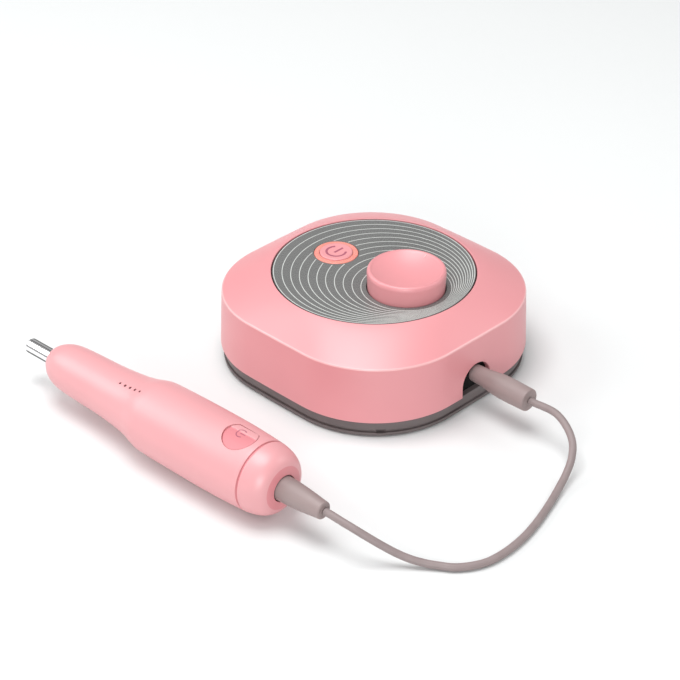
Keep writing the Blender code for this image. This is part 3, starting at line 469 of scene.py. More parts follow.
def new_look(name, **shader_values):
    look = bpy.data.materials.new(name)
    look.use_nodes = True
    shader = look.node_tree.nodes["Principled BSDF"]
    for socket, value in shader_values.items():
        shader.inputs[socket.replace("_", " ")].default_value = value
    return look, look.node_tree, shader


def surface_coordinates(tree, stretch=(1, 1, 1)):
    coordinates = add_node(tree, "ShaderNodeTexCoord")
    inputs = {"Vector": coordinates.outputs["Object"], "Scale": stretch}
    return add_node(tree, "ShaderNodeMapping", inputs).outputs["Vector"]


def noise(tree, vector, size, detail=2.0):
    """Soft noise whose patches are about size metres across."""
    inputs = {"Vector": vector, "Scale": 1 / size, "Detail": detail}
    return add_node(tree, "ShaderNodeTexNoise", inputs).outputs["Fac"]


def blend_colours(tree, share, first, second):
    inputs = {"Factor": share}
    mix = add_node(tree, "ShaderNodeMix", inputs, data_type="RGBA")
    for socket, colour in (("A", first), ("B", second)):
        target = next(s for s in mix.inputs if s.name == socket and s.type == "RGBA")
        if isinstance(colour, bpy.types.NodeSocket):
            tree.links.new(colour, target)
        else:
            target.default_value = (*colour, 1)
    return next(s for s in mix.outputs if s.type == "RGBA")


def spread(tree, value, low, high):
    inputs = {"Value": value, "From Min": 0.3, "From Max": 0.7, "To Min": low, "To Max": high}
    return add_node(tree, "ShaderNodeMapRange", inputs).outputs["Result"]


def finish_look(tree, shader, colour, roughness, height, strength, depth):
    """Links a look's colour and roughness, and the relief that a pattern's height gives it."""
    relief = add_node(tree, "ShaderNodeBump", {"Height": height, "Strength": strength, "Distance": depth})
    tree.links.new(colour, shader.inputs["Base Color"])
    tree.links.new(roughness, shader.inputs["Roughness"])
    tree.links.new(relief.outputs["Normal"], shader.inputs["Normal"])


def surface(name, light, dark, gloss, texture, stretch=(1, 1, 1), **shader_values):
    """A moulded or machined surface: its colour drifts between two shades over patches, and a fine
    grain shows in its gloss (a lowest and a highest roughness) and in its relief. The texture is the
    width of the patches and of the grain in millimetres, and the grain's depth in microns."""
    patch, grain, depth = texture
    look, tree, shader = new_look(name, **shader_values)
    vector = surface_coordinates(tree, stretch)
    patches = spread(tree, noise(tree, vector, patch * MM), 0.0, 1.0)
    fine = noise(tree, vector, grain * MM, GRAIN_DETAIL)
    colour = blend_colours(tree, patches, light, dark)
    finish_look(tree, shader, colour, spread(tree, fine, *gloss), fine, GRAIN_STRENGTH, depth * MICRON)
    return look


# Each plain surface: its material's name, a light and a dark colour, a roughness range and a texture.
SATIN = (0.36, 0.44)
NARROW, WIDE = (10, 0.35, 4), (30, 0.35, 4)
SURFACES = {
    # pink plastics, with lighter and darker copies of the pink that paint in light and shade
    "pink": ("satin_pink_plastic", (0.735, 0.295, 0.315), (0.72, 0.28, 0.302), SATIN, WIDE),
    # painted light: a lighter copy of the pink for the handpiece, standing in for the brighter light that
    # falls on it
    "lit_hand_pink": ("handpiece_pink_painted_lighter", (0.735, 0.34, 0.357), (0.72, 0.325, 0.344), SATIN, WIDE),
    # painted shade: a darker pink for the shoulder in the tail's seam and for the button's scoop
    "painted_shade_pink": ("pink_painted_shade", (0.66, 0.225, 0.25), (0.64, 0.21, 0.235), SATIN, NARROW),
    # painted shade: a darker pink for the tail's end face, which is turned away from the light
    "end_face_shade_pink": ("shaded_pink_plastic", (0.7, 0.258, 0.28), (0.68, 0.244, 0.268), (0.38, 0.46), NARROW),
    "pale_pink": ("pale_pink_plastic", (0.8, 0.43, 0.44), (0.77, 0.4, 0.41), (0.3, 0.4), NARROW),
    # painted highlight: a lighter, glossier pink on the rounding of the cover's top edge
    "edge_highlight_pink": ("pink_painted_edge_highlight", (0.84, 0.46, 0.47), (0.81, 0.43, 0.44), (0.2, 0.28), NARROW),
    # the dial and the marks
    "plate": (
        "grey_plate_plastic", (0.155, 0.156, 0.153), (0.143, 0.145, 0.142), (0.24, 0.32), (20, 0.4, 3),
    ),
    "line": ("pale_line_paint", (0.62, 0.64, 0.615), (0.54, 0.56, 0.54), (0.28, 0.42), (4, 0.4, 3)),
    "coral": ("coral_lit_plastic", (0.78, 0.29, 0.24), (0.75, 0.25, 0.21), (0.25, 0.35), (4, 0.4, 3)),
    "mark": ("mauve_mark_paint", (0.4, 0.105, 0.155), (0.35, 0.09, 0.135), (0.35, 0.5), (2, 0.3, 3)),
    # dark plastics
    "tray": ("dark_tray_plastic", (0.15, 0.126, 0.125), (0.13, 0.108, 0.108), (0.42, 0.56), (12, 0.5, 10)),
    "black": ("black_plastic", (0.032, 0.031, 0.031), (0.022, 0.021, 0.022), (0.4, 0.55), (4, 0.4, 10)),
    "socket_black": ("matt_black_plastic", (0.008, 0.007, 0.007), (0.005,) * 3, (0.7, 0.85), (4, 0.4, 10)),
    "guide": ("smoked_light_guide", (0.16, 0.045, 0.055), (0.12, 0.03, 0.04), (0.18, 0.28), (1, 0.3, 2)),
    # rubber, and dark rings of painted shade below the dial's gaps
    "rubber": ("mauve_rubber", (0.315, 0.243, 0.237), (0.27, 0.204, 0.2), (0.42, 0.55), (4, 0.4, 7)),
    "cord": ("mauve_cord_rubber", (0.29, 0.232, 0.23), (0.26, 0.205, 0.203), (0.45, 0.58), (5, 0.4, 7)),
    "foot": ("foot_rubber", (0.035, 0.034, 0.034), (0.022, 0.022, 0.022), (0.75, 0.9), (3, 0.3, 20)),
    "gap_shade": ("painted_shade_gap_ring", (0.1, 0.055, 0.055), (0.07, 0.04, 0.042), (0.85, 0.95), (2, 0.2, 20)),
    # metals and magnets
    "steel": ("turned_steel", (0.6, 0.6, 0.61), (0.5, 0.5, 0.51), (0.24, 0.38), (3, 0.3, 4)),
    "brass": ("turned_brass", (0.78, 0.6, 0.28), (0.66, 0.48, 0.2), (0.22, 0.36), (3, 0.3, 4)),
    "magnet": ("magnet_ceramic", (0.065, 0.065, 0.07), (0.04, 0.04, 0.045), (0.45, 0.65), (1, 0.3, 12)),
    # wires, and the cells' shrink wrap with a few soft wrinkles round it
    "red_wire": ("red_wire_insulation", (0.42, 0.02, 0.02), (0.32, 0.015, 0.015), (0.4, 0.5), (3, 0.4, 4)),
    "black_wire": ("black_wire_insulation", (0.03,) * 3, (0.018,) * 3, (0.4, 0.5), (3, 0.4, 4)),
    "battery": ("battery_wrap", (0.06, 0.2, 0.52), (0.04, 0.14, 0.4), (0.22, 0.34), (6, 3, 60)),
}
FURTHER_VALUES = {
    "pink": {"Specular_IOR_Level": 0.85},
    "lit_hand_pink": {"Specular_IOR_Level": 0.85},
    "socket_black": {"Specular_IOR_Level": 0.2},
    "rubber": {"stretch": (0.25, 1, 1)},
    "battery": {"stretch": (2.5, 0.4, 0.4)},
    "steel": {"stretch": (1, 0.15, 0.15), "Metallic": 1.0},
    "brass": {"Metallic": 1.0},
    "magnet": {"Metallic": 0.4},
    "coral": {
        "Emission_Color": (1.0, 0.28, 0.2, 1),
        "Emission_Strength": 0.06,
        "Subsurface_Weight": 0.2,
        "Subsurface_Radius": (0.002, 0.0006, 0.0004),
        "Subsurface_Scale": 1.0,
    },
}


def polished_chrome():
    """Bright chrome with painted reflections: fine dark streaks along the tube, at uneven places round it.
    """
    look, tree, shader = new_look("polished_chrome", Metallic=1.0)
    turn = Matrix.Rotation(-math.radians(90), 4, "Y") @ HANDPIECE.inverted()
    vector = surface_coordinates(tree)
    inputs = {"Vector": vector, "Rotation": turn.to_euler(), "Location": turn.translation}
    along_tube = add_node(tree, "ShaderNodeMapping", inputs).outputs["Vector"]
    round_place = add_node(tree, "ShaderNodeTexGradient", {"Vector": along_tube}, gradient_type="RADIAL")
    ramp = add_node(tree, "ShaderNodeValToRGB", {"Fac": round_place.outputs["Fac"]})
    stops = ramp.color_ramp.elements
    bright, edge = 0.93, 0.005
    for stop in stops:
        stop.color = (bright, bright, 0.94, 1)
    # each painted reflection is a dark band in the chrome's colour, at a fixed place round the tube
    for middle, half, shade in PAINTED_REFLECTION_STREAKS:
        for place, value in ((-half - edge, bright), (-half, shade), (half, shade), (half + edge, bright)):
            stop = stops.new(middle + place)
            stop.color = (value, value * 0.99, value, 1)
    fine = noise(tree, surface_coordinates(tree, (1, 0.1, 0.1)), 0.3 * MM, GRAIN_DETAIL)
    gloss = spread(tree, fine, 0.05, 0.11)
    finish_look(tree, shader, ramp.outputs["Color"], gloss, fine, GRAIN_STRENGTH, 1.2 * MICRON)
    return look


def laminated_rotor():
    """Stacked steel sheets: fine dark lines across the axis, with copper showing between them."""
    look, tree, shader = new_look("laminated_rotor", Metallic=1.0)
    inputs = {"Vector": surface_coordinates(tree), "Scale": 320.0, "Distortion": 0.4, "Detail": 1.0}
    sheets = add_node(tree, "ShaderNodeTexWave", inputs, bands_direction="X").outputs["Fac"]
    colour = blend_colours(tree, sheets, (0.42, 0.23, 0.13), (0.58, 0.55, 0.52))
    finish_look(tree, shader, colour, spread(tree, sheets, 0.28, 0.5), sheets, 0.5, 50 * MICRON)
    return look


def printed_board():
    """A green lacquered board with the straight runs of its copper tracks showing through."""
    look, tree, shader = new_look("printed_board", Coat_Weight=0.4, Coat_Roughness=0.2)
    vector = surface_coordinates(tree)
    sizes = {"Scale": 260.0, "Mortar Size": 0.035, "Brick Width": 0.9, "Row Height": 0.35}
    tracks = add_node(tree, "ShaderNodeTexBrick", {"Vector": vector, **sizes}).outputs["Fac"]
    patches = spread(tree, noise(tree, vector, 6 * MM), 0.0, 1.0)
    lacquer = blend_colours(tree, patches, (0.02, 0.17, 0.075), (0.015, 0.13, 0.06))
    colour = blend_colours(tree, tracks, lacquer, (0.06, 0.30, 0.13))
    finish_look(tree, shader, colour, spread(tree, patches, 0.35, 0.5), tracks, 0.4, 30 * MICRON)
    return look


def make_looks():
    looks = {"chrome": polished_chrome(), "rotor": laminated_rotor(), "board": printed_board()}
    for key, values in SURFACES.items():
        looks[key] = surface(*values, **FURTHER_VALUES.get(key, {}))
    return looks


# --- The base's outline
def outline_at(height, inset=0.0):
    """Points round a square whose sides bow outwards as shallow arcs, with round corners that
    run into them smoothly. The inset draws it in by that much all round."""
    half = BASE_HALF - inset
    corner = CORNER_RADIUS - inset
    side_radius = (half**2 + SIDE_BOW**2) / (2 * SIDE_BOW)
    side_centre = half - side_radius
    # The corner arc's centre (c, c) lies side_radius - corner from the side arc's centre.
    spare = side_centre**2 - (side_radius - corner) ** 2
    c = (2 * side_centre + math.sqrt(4 * side_centre**2 - 8 * spare)) / 4
    meet = math.atan2(c, c - side_centre)
    side = arc(side_radius, -meet, 2 * meet, SIDE_STEPS)[:-1]
    bend = arc(corner, meet, math.pi / 2 - 2 * meet, CORNER_STEPS)[:-1]
    quarter = [(side_centre + x, y) for x, y in side] + [(c + x, c + y) for x, y in bend]
    points = []
    for turn in range(4):
        cos, sin = math.cos(turn * math.pi / 2), math.sin(turn * math.pi / 2)
        points += [Vector((x * cos - y * sin, x * sin + y * cos, height)) for x, y in quarter]
    return points


def crown_ring(outline, shares):
    """The ring on the crown that lies each point's own share of the way in to the dial."""
    ring = []
    for point, share in zip(outline, shares):
        reach = math.hypot(point.x, point.y)
        scale = (1 - share) + share * RECESS_RADIUS / reach
        height = COVER_EDGE + (COVER_TOP - COVER_EDGE) * (1 - (1 - share) ** CROWN)
        ring.append(Vector((point.x * scale, point.y * scale, height)))
    return ring


def bent(start, corner, end, steps=5):
    """The rings of a soft edge, from one ring over a corner ring to another."""
    shares = [k / steps for k in range(steps + 1)]
    runs = list(zip(start, corner, end))
    return [[a.lerp(b, t).lerp(b.lerp(c, t), t) for a, b, c in runs] for t in shares]


def circle_ring(outline, radius, height):
    """The outline's points moved onto a circle, at one height."""
    flat = [Vector((point.x, point.y, 0)).normalized() * radius for point in outline]
    return [point + Vector((0, 0, height)) for point in flat]


def draft_at(height):
    return WALL_DRAFT * (height - COVER_BOTTOM) / (COVER_EDGE - COVER_BOTTOM)


CORNER_NAMES = ["rear_right", "rear_left", "front_left", "front_right"]


def square_corners(reach):
    return [(reach, reach), (-reach, reach), (-reach, -reach), (reach, -reach)]


def rod(low, high, radius, centre, steps=SMALL_STEPS):
    return turned([(low, 0), (low, radius), (high, radius), (high, 0)], steps, "Z", centre)


# --- Base pieces
def cover_mesh():
    """One closed skin: down the inside, up the outside, over the crown and down into the dial's
    recess."""
    top_outline = outline_at(COVER_EDGE, WALL_DRAFT)
    widths = [math.hypot(point.x, point.y) - RECESS_RADIUS for point in top_outline]
    foot = [(0.0, 0.3), (0.1, 0.08), (0.35, 0.0)]
    rings = [outline_at(COVER_BOTTOM + rise, inset) for rise, inset in foot]
    wall_steps = 4
    edge_start = COVER_EDGE - EDGE_SOFTNESS
    for i in range(1, wall_steps):
        height = COVER_BOTTOM + (edge_start - COVER_BOTTOM) * i / wall_steps
        rings.append(outline_at(height, draft_at(height)))

    below = outline_at(edge_start, draft_at(edge_start))
    inside_edge = [EDGE_SOFTNESS / width for width in widths]
    rings += bent(below, top_outline, crown_ring(top_outline, inside_edge))
    outside_rim = [1 - RIM_SOFTNESS / width for width in widths]
    crown_steps = 14
    for i in range(1, crown_steps):
        shares = [a + (b - a) * i / crown_steps for a, b in zip(inside_edge, outside_rim)]
        rings.append(crown_ring(top_outline, shares))
    rim = circle_ring(top_outline, RECESS_RADIUS, COVER_TOP)
    rim_below = circle_ring(top_outline, RECESS_RADIUS, COVER_TOP - RIM_SOFTNESS)
    rings += bent(crown_ring(top_outline, outside_rim), rim, rim_below)
    rings.append(circle_ring(top_outline, RECESS_RADIUS, FLOOR_TOP))

    inner = [
        circle_ring(top_outline, RECESS_RADIUS - COVER_WALL, FLOOR_BOTTOM),
        outline_at(COVER_EDGE - 1.0, WALL_DRAFT + COVER_WALL),
        outline_at(COVER_BOTTOM, COVER_WALL),
    ]
    return lofted(inner + rings)


def notch_mesh():
    """The notch for the plug: an arch, open at the bottom, that flares where it meets the wall."""
    rings = []
    for x, half in ((44.0, NOTCH_HALF), (49.35, NOTCH_HALF), (50.35, NOTCH_HALF + 0.65)):
        arch = [(u, NOTCH_CENTRE_Z + v) for u, v in arc(half, 0, math.pi, 40)]
        rings.append([(x, u, v) for u, v in [(-half, 0), (half, 0), *arch]])
    return lofted(rings)


def stadium(half_length, half_height, steps=12):
    """An outline with two straight sides and two round ends."""
    straight = half_length - half_height
    end = arc(half_height, -math.pi / 2, math.pi, steps)
    return [(side * (straight + u), side * v) for side in (1, -1) for u, v in end]


def make_cover(looks):
    cover = solid("cover_shell", cover_mesh(), BASE, looks["pink"])
    corners, places = square_corners(BOSS_REACH), POST_REACH.values()
    bosses = [rod(*BOSS_SPAN, BOSS_RADIUS, corner) for corner in corners]
    posts = [rod(*POST_SPAN, POST_RADIUS, place) for place in places]
    combine(cover, "UNION", merged(*bosses, *posts), BASE)
    bores = [rod(*BOSS_BORE_SPAN, BOSS_BORE_RADIUS, corner) for corner in corners]
    bores += [rod(*POST_BORE_SPAN, POST_BORE_RADIUS, place) for place in places]
    low, high = FLOOR_BOTTOM - THROUGH, FLOOR_TOP + THROUGH
    holes = [rod(low, high, SHAFT_HOLE_RADIUS, KNOB_PLACE), rod(low, high, STEM_HOLE_RADIUS, BUTTON_PLACE)]
    combine(cover, "DIFFERENCE", merged(*bores, *holes), BASE)
    combine(cover, "DIFFERENCE", notch_mesh(), BASE)
    slot = [
        [(u, y, PLUG_Z + v) for u, v in stadium(SLOT_HALF_LENGTH + flare, SLOT_HALF_HEIGHT + flare)]
        for y, flare in ((44.0, 0.0), (49.4, 0.0), (50.4, 0.5))
    ]
    combine(cover, "DIFFERENCE", lofted(slot), BASE)

    # Painted highlight: the faces on the rounding of the top edge get a lighter pink, drawn as a thin line
    # of light.
    def is_highlight_edge(face):
        height = (face.center.z - BASE_HEIGHT) / MM - COVER_EDGE
        return -EDGE_SOFTNESS < height < 0.7 * EDGE_SOFTNESS and face.normal.z > 0.1

    paint_faces(cover, looks["edge_highlight_pink"], is_highlight_edge)
    settle(cover, "base", "pink_shell", "top_cover")


def make_tray(looks):
    """The dark tray: a rim that stands down round its floor, a groove with a slot for prising the
    base open, a plain band up to the cover, and a lip inside the cover."""
    rim_inside, lip_inside = RIM_INSET + RIM_WALL, TRAY_LIP_INSET + TRAY_LIP_WALL
    shape = [
        (TRAY_BOTTOM, rim_inside), (RIM_BOTTOM, rim_inside),
        (RIM_BOTTOM, RIM_INSET + 0.5), (RIM_BOTTOM + 0.15, RIM_INSET + 0.15),
        (RIM_BOTTOM + 0.5, RIM_INSET), (RIM_TOP - 0.15, RIM_INSET),
        (RIM_TOP - 0.04, RIM_INSET + 0.04), (RIM_TOP, RIM_INSET + 0.15), (RIM_TOP, GROOVE_INSET),
        (GROOVE_TOP, GROOVE_INSET), (GROOVE_TOP, TRAY_INSET + 0.12),
        (GROOVE_TOP + 0.12, TRAY_INSET), (TRAY_TOP - 0.2, TRAY_INSET),
        (TRAY_TOP, TRAY_INSET + 0.2), (TRAY_TOP, TRAY_LIP_INSET),
        (TRAY_LIP_TOP - 0.2, TRAY_LIP_INSET), (TRAY_LIP_TOP, TRAY_LIP_INSET + 0.2),
        (TRAY_LIP_TOP, lip_inside), (TRAY_FLOOR_TOP, lip_inside),
    ]
    rings = [outline_at(height, inset) for height, inset in shape]
    tray = solid("tray_shell", lofted(rings), BASE, looks["tray"])
    gap = rectangle(44.0, 54.0, LIP_GAP_HALF)
    combine(tray, "DIFFERENCE", prism(gap, TRAY_TOP, TRAY_LIP_TOP + THROUGH), BASE)
    slot = rod(RIM_TOP - 0.2, GROOVE_TOP + 0.4, PRY_SLOT_RADIUS, PRY_SLOT)
    combine(tray, "DIFFERENCE", slot, BASE)
    profile = [(0, 0), (0, 2.6), (2.2, 2.6), (2.2, 1.3), (4.0, 1.3), (4.0, 0)]
    holes = [turned(profile, SMALL_STEPS, "Z", corner) for corner in square_corners(BOSS_REACH)]
    combine(tray, "DIFFERENCE", merged(*holes), BASE)
    settle(tray, "base", "dark_tray", "base_tray")


def screw_mesh(low, head_radius, head_height, shank_radius, top, centre):
    """A domed screw, head down, with a pointed shank."""
    profile = [
        (low, 0), (low, head_radius * 0.55), (low + head_height * 0.35, head_radius, 0.15),
        (low + head_height, head_radius, 0.1), (low + head_height, shank_radius),
        (top - shank_radius, shank_radius), (top, 0),
    ]
    return lathed(profile, 32, "Z", centre)


def cross_mesh(low, depth, reach, centre):
    """The cross recess of a screw, as two tapered bars united later by the cut itself."""
    bars = []
    for across in (0, 1):
        rings = []
        for z, share in ((low - 0.2, 1.1), (low + depth, 0.35)):
            half_long, half_thin = reach * share, reach * 0.2 * share
            wide, deep = (half_thin, half_long) if across else (half_long, half_thin)
            rings.append([(centre[0] + u * wide, centre[1] + v * deep, z) for u, v in square_corners(1)])
        bars.append(lofted(rings))
    return bars


def make_screws(looks):
    kinds = [
        ("case_screw", zip(CORNER_NAMES, square_corners(BOSS_REACH)), (1.1, 2.3, 0.7, 1.0, 12.0), 1.1),
        ("board_screw", POST_REACH.items(), (20.9, 1.8, 1.0, 0.8, 28.0), 0.9),
    ]
    for kind, places, sizes, cross_reach in kinds:
        for name, place in places:
            screw = solid(f"{kind}_{name}_fine", screw_mesh(*sizes, place), BASE, looks["steel"])
            for bar in cross_mesh(sizes[0], 0.5, cross_reach, place):
                combine(screw, "DIFFERENCE", bar, BASE)
            settle(screw, "base", "steel", f"{kind}_{name}")


def make_feet(looks):
    profile = [
        (FOOT_BOTTOM + 0.12, 0), (FOOT_BOTTOM + 0.12, 2.2, 0.1), (FOOT_BOTTOM, 2.6, 0.1),
        (FOOT_BOTTOM, FOOT_RADIUS - 0.1, 0.25), (FOOT_TOP, FOOT_RADIUS, 0.15), (FOOT_TOP, 0),
    ]
    for name, corner in zip(CORNER_NAMES, square_corners(FOOT_REACH)):
        foot = lathed(profile, SMALL_STEPS, "Z", corner)
        add_piece(f"foot_{name}_fine", foot, BASE, looks["foot"], "base", "dark_rubber", f"foot_{name}")


def line_circles():
    """The dial's pale circles, each a little smaller than the last and nearer to the knob."""
    for i in range(LINE_COUNT):
        share = i / (LINE_COUNT - 1)
        centre = KNOB_FLAT * share
        yield centre, LINE_OUTER_RADIUS + (LINE_INNER_RADIUS - LINE_OUTER_RADIUS) * share


def line_runs(centre, radius, steps):
    """The stretches of a circle that lie on the plate, clear of its holes and its rim."""
    holes = [(KNOB_PLACE, KNOB_HOLE_RADIUS + LINE_WIDTH), (BUTTON_PLACE, RING_HOLE_RADIUS + LINE_WIDTH)]

    def is_shown(i):
        t = math.tau * (i % steps) / steps
        x, y = centre.x + radius * math.cos(t), centre.y + radius * math.sin(t)
        clear = all(math.hypot(x - hole.x, y - hole.y) > reach for hole, reach in holes)
        return clear and math.hypot(x, y) < PLATE_RADIUS - LINE_WIDTH

    runs = []
    for start in range(steps):
        if is_shown(start) and not is_shown(start - 1):
            end = start
            while is_shown(end + 1):
                end += 1
            runs.append((start, end))
    return runs or [(0, steps)]


def line_spacing(out):
    """The distance between neighbouring circles in one direction. They crowd towards the knob."""
    shift = KNOB_FLAT.dot(out)
    return (LINE_OUTER_RADIUS - LINE_INNER_RADIUS - shift) / (LINE_COUNT - 1)


def make_lines(looks):
    """Pale painted circles, drawn finer where they crowd together."""
    steps = 360
    lines = []
    for centre, radius in line_circles():
        for start, end in line_runs(centre, radius, steps):
            whole = end - start == steps
            sections = []
            for i in range(start, end if whole else end + 1):
                t = math.tau * i / steps
                out = Vector((math.cos(t), math.sin(t), 0))
                half = min(LINE_WIDTH, 0.42 * line_spacing(out)) / 2
                section = []
                for side, height in ((-1, 0), (1, 0), (0.8, LINE_HEIGHT), (-0.8, LINE_HEIGHT)):
                    place = centre + out * (radius + side * half)
                    section.append((place.x, place.y, PLATE_TOP + height))
                sections.append(section)
            lines.append(lofted(sections, closed=whole))
    add_piece("dial_lines", merged(*lines), BASE, looks["line"], "base", "grey_plate")


def make_dial(looks):
    profile = [
        (PLATE_BOTTOM, 0), (PLATE_BOTTOM, PLATE_RADIUS), (PLATE_TOP, PLATE_RADIUS, 0.15),
        (PLATE_TOP, 0),
    ]
    plate = solid("dial_face", lathed(profile, 192, "Z"), BASE, looks["plate"])
    low, high = PLATE_BOTTOM - THROUGH, PLATE_TOP + THROUGH
    sizes = [(KNOB_HOLE_RADIUS, KNOB_PLACE), (RING_HOLE_RADIUS, BUTTON_PLACE)]
    holes = [rod(low, high, radius, place, 96) for radius, place in sizes]
    combine(plate, "DIFFERENCE", merged(*holes), BASE)
    settle(plate, "base", "grey_plate", "dial_plate")

    inner = BUTTON_RADIUS + 0.12
    profile = [
        (PLATE_BOTTOM, inner), (PLATE_TOP + 0.2, inner, 0.12),
        (PLATE_TOP + 0.2, RING_RADIUS - 0.15, 0.3), (PLATE_TOP - 0.4, RING_RADIUS),
        (PLATE_BOTTOM, RING_RADIUS),
    ]
    ring = lathed(profile, 96, "Z", BUTTON_PLACE)
    add_piece("light_ring", ring, BASE, looks["coral"], "base", "coral_light", "button_light_ring")

    # Painted shade: dark rings below the gaps round the knob and round the plate, so that the gaps look
    # dark.
    shade_rings = [
        ("knob_gap_shade", 12.9, 15.2, 96, KNOB_PLACE),
        ("plate_gap_shade", PLATE_RADIUS - 1.0, RECESS_RADIUS - 0.05, 192, (0, 0)),
    ]
    for name, inner, outer, steps, centre in shade_rings:
        profile = [(FLOOR_TOP, inner), (GAP_SHADE_TOP, inner, 0.05), (GAP_SHADE_TOP, outer, 0.05), (FLOOR_TOP, outer)]
        shade_ring = lathed(profile, steps, "Z", centre)
        add_piece(name, shade_ring, BASE, looks["gap_shade"], "base", "dark_rubber")


def power_mark(radius, width, lift, sink, direction, centre, height_at):
    """The usual power mark: an open circle with a bar in its gap. It stands a little proud of the
    face, whose height is given for each place on it."""
    gap = math.radians(50)
    circle = arc(radius, direction + gap, math.tau - 2 * gap, 48)
    heading = Vector((math.cos(direction), math.sin(direction)))
    bar = [heading * radius * (-0.25 + 1.25 * i / 16) for i in range(17)]
    edge = lift * 0.5
    section = [(-1, -sink), (1, -sink), (1, edge), (0.6, lift), (-0.6, lift), (-1, edge)]
    strokes = []
    for path in ([Vector(point) for point in circle], bar):
        rings = []
        for i, point in enumerate(path):
            along = heading_at(path, i)
            across = Vector((-along.y, along.x))
            ring = []
            for side, rise in section:
                place = Vector(centre[:2]) + point + across * side * width / 2
                ring.append((place.x, place.y, height_at(place) + rise))
            rings.append(ring)
        strokes.append(lofted(rings))
    return merged(*strokes)


def make_power_button(looks):
    profile = [
        (28.0, 0), (28.0, 1.8), (28.9, 1.8), (28.9, 7.0), (29.7, 7.0), (29.7, BUTTON_RADIUS),
        (BUTTON_TOP, BUTTON_RADIUS, 0.6), (BUTTON_TOP - 0.05, 4.9, 0.5),
        (BUTTON_TOP - 0.2, 2.4, 0.5), (BUTTON_TOP - 0.22, 0),
    ]
    cap = lathed(profile, 96, "Z", BUTTON_PLACE)
    body = "power_button"
    add_piece("power_button_cap", cap, BASE, looks["pink"], body, "pink_shell", "power_button")

    def height_at(place):
        reach = math.hypot(place.x - BUTTON_PLACE.x, place.y - BUTTON_PLACE.y)
        share = min(1, max(0, (reach - 2.4) / 2.5))
        return BUTTON_TOP - 0.2 + 0.15 * share

    mark = power_mark(3.5, 0.85, 0.03, 0.2, math.pi / 2, BUTTON_PLACE, height_at)
    add_piece("power_button_mark", mark, BASE, looks["mark"], body, "pink_shell")


def knob_height(radius):
    """The dished top of the knob at a distance from its middle."""
    dish_radius, depth, rim_height = 12.5, 3.2, 40.45
    share = min(1.0, radius / dish_radius)
    return rim_height - depth * (1 - share**2)


def make_knob(looks):
    top, rim_radius, foot_radius = 40.8, 13.75, 13.7
    places = (12.3, 12.0, 11.4, 10.3, 9.0, 7.5, 6.0, 4.5, 3.0, 1.5)
    dish = [(knob_height(radius), radius) for radius in places]
    profile = [
        (32.3, 12.3), (32.3, foot_radius, 0.2), (top - 1.5, rim_radius + 0.3, 0.3),
        (top - 0.1, rim_radius, 0.8), (top, rim_radius - 0.9, 0.4), *dish, (knob_height(0), 0),
        (36.4, 0), (36.4, 3.15), (34.8, 3.15), (34.8, 5.2), (36.0, 5.6), (36.0, 12.3),
    ]
    knob = lathed(profile, ROUND_STEPS, "Z", KNOB_PLACE)
    add_piece("knob_cap", knob, BASE, looks["pink"], "knob", "pink_shell", "speed_knob")

    direction = math.atan2(11.9, -1.9)
    along = Vector((math.cos(direction), math.sin(direction), 0))
    across = Vector((-along.y, along.x, 0))
    rings = []
    for reach in (11.0, 11.15, 11.6, 12.0, 12.4, 12.55):
        half = 0.12 if reach in (11.0, 12.55) else 0.3
        face = knob_height(reach)
        middle = KNOB_FLAT + along * reach
        low, high = face - 0.3, face + 0.12
        corners = [(-half, low), (half, low), (half * 0.7, high), (-half * 0.7, high)]
        rings.append([middle + across * side + Vector((0, 0, height)) for side, height in corners])
    add_piece("knob_pointer", lofted(rings), BASE, looks["pale_pink"], "knob", "pink_shell")


def make_plug(looks):
    side = [
        (49.0, 3.12), (51.0, 3.2), (54.0, 3.32), (57.5, 3.78), (60.5, 4.13), (65.0, 4.25),
        (69.0, 4.18), (73.1, 4.08),
    ]
    profile = [
        (48.4, 0), (48.4, 2.85, 0.35), *smooth_profile(side, 0.8), (73.55, 4.0, 0.3),
        (73.6, 2.9, 0.2), (73.45, 1.8, 0.1), (73.6, 1.6, 0.1), (73.6, 0),
    ]
    body, rubber = "plug_lead", looks["rubber"]
    grip = add_piece("plug_body", lathed(profile, 96), PLUG, rubber, body, "mauve_rubber", "plug_grip")
    pin = [
        (31.5, 0), (31.6, 0.7, 0.2), (32.9, 1.65, 0.4), (34.2, 1.1, 0.3), (35.3, 1.75, 0.2),
        (48.1, 1.75), (48.1, 0),
    ]
    jack = add_piece("jack_pin", lathed(pin, 48), PLUG, looks["chrome"], body, "chrome", "plug_pin")
    bands = []
    for start in (36.4, 40.2):
        end = start + 0.7
        bands.append(turned([(start, 1.6), (start, 1.78), (end, 1.78), (end, 1.6)], 48))
    rings = add_piece("jack_pin_rings", merged(*bands), PLUG, looks["black"], body, "black_plastic")
    return grip, jack, rings


def cord_mesh(points):
    """A round tube along the points, with closed ends."""
    sides = 24
    rings = []
    up = Vector((0, 0, 1))
    for i, point in enumerate(points):
        along = heading_at(points, i)
        across = along.cross(up).normalized()
        up = across.cross(along)
        circle = arc(CORD_DIAMETER / 2, 0, math.tau, sides)[:-1]
        rings.append([(point + across * u + up * v) / MM for u, v in circle])
    return lofted(rings)


def make_cord(looks):
    points = smooth_curve(CORD_ROUTE, CORD_STEP)
    cord = solid("cord_tube", cord_mesh(points), Matrix.Identity(4), looks["cord"])
    cord.data.shade_smooth()
    cord.data.set_sharp_from_angle(angle=math.radians(50))
    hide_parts("handpiece_cord")
    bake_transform(cord)
    sum((b - a).length for a, b in zip(points, points[1:]))


# --- Handpiece pieces
def d_outline(grow=0.0, steps=72):
    """The handpiece button's outline, seen along its press direction: round towards the chuck and
    the user, and cut straight along the far side."""
    radius = HAND_BUTTON_RADIUS + grow
    flat = HAND_BUTTON_FLAT + grow
    start = math.asin(flat / radius)
    points = arc(radius, start, -math.pi - 2 * start, steps)
    reach = points[0][0]
    straight_steps = 20
    points += [(-reach + 2 * reach * i / straight_steps, flat) for i in range(1, straight_steps)]
    return points


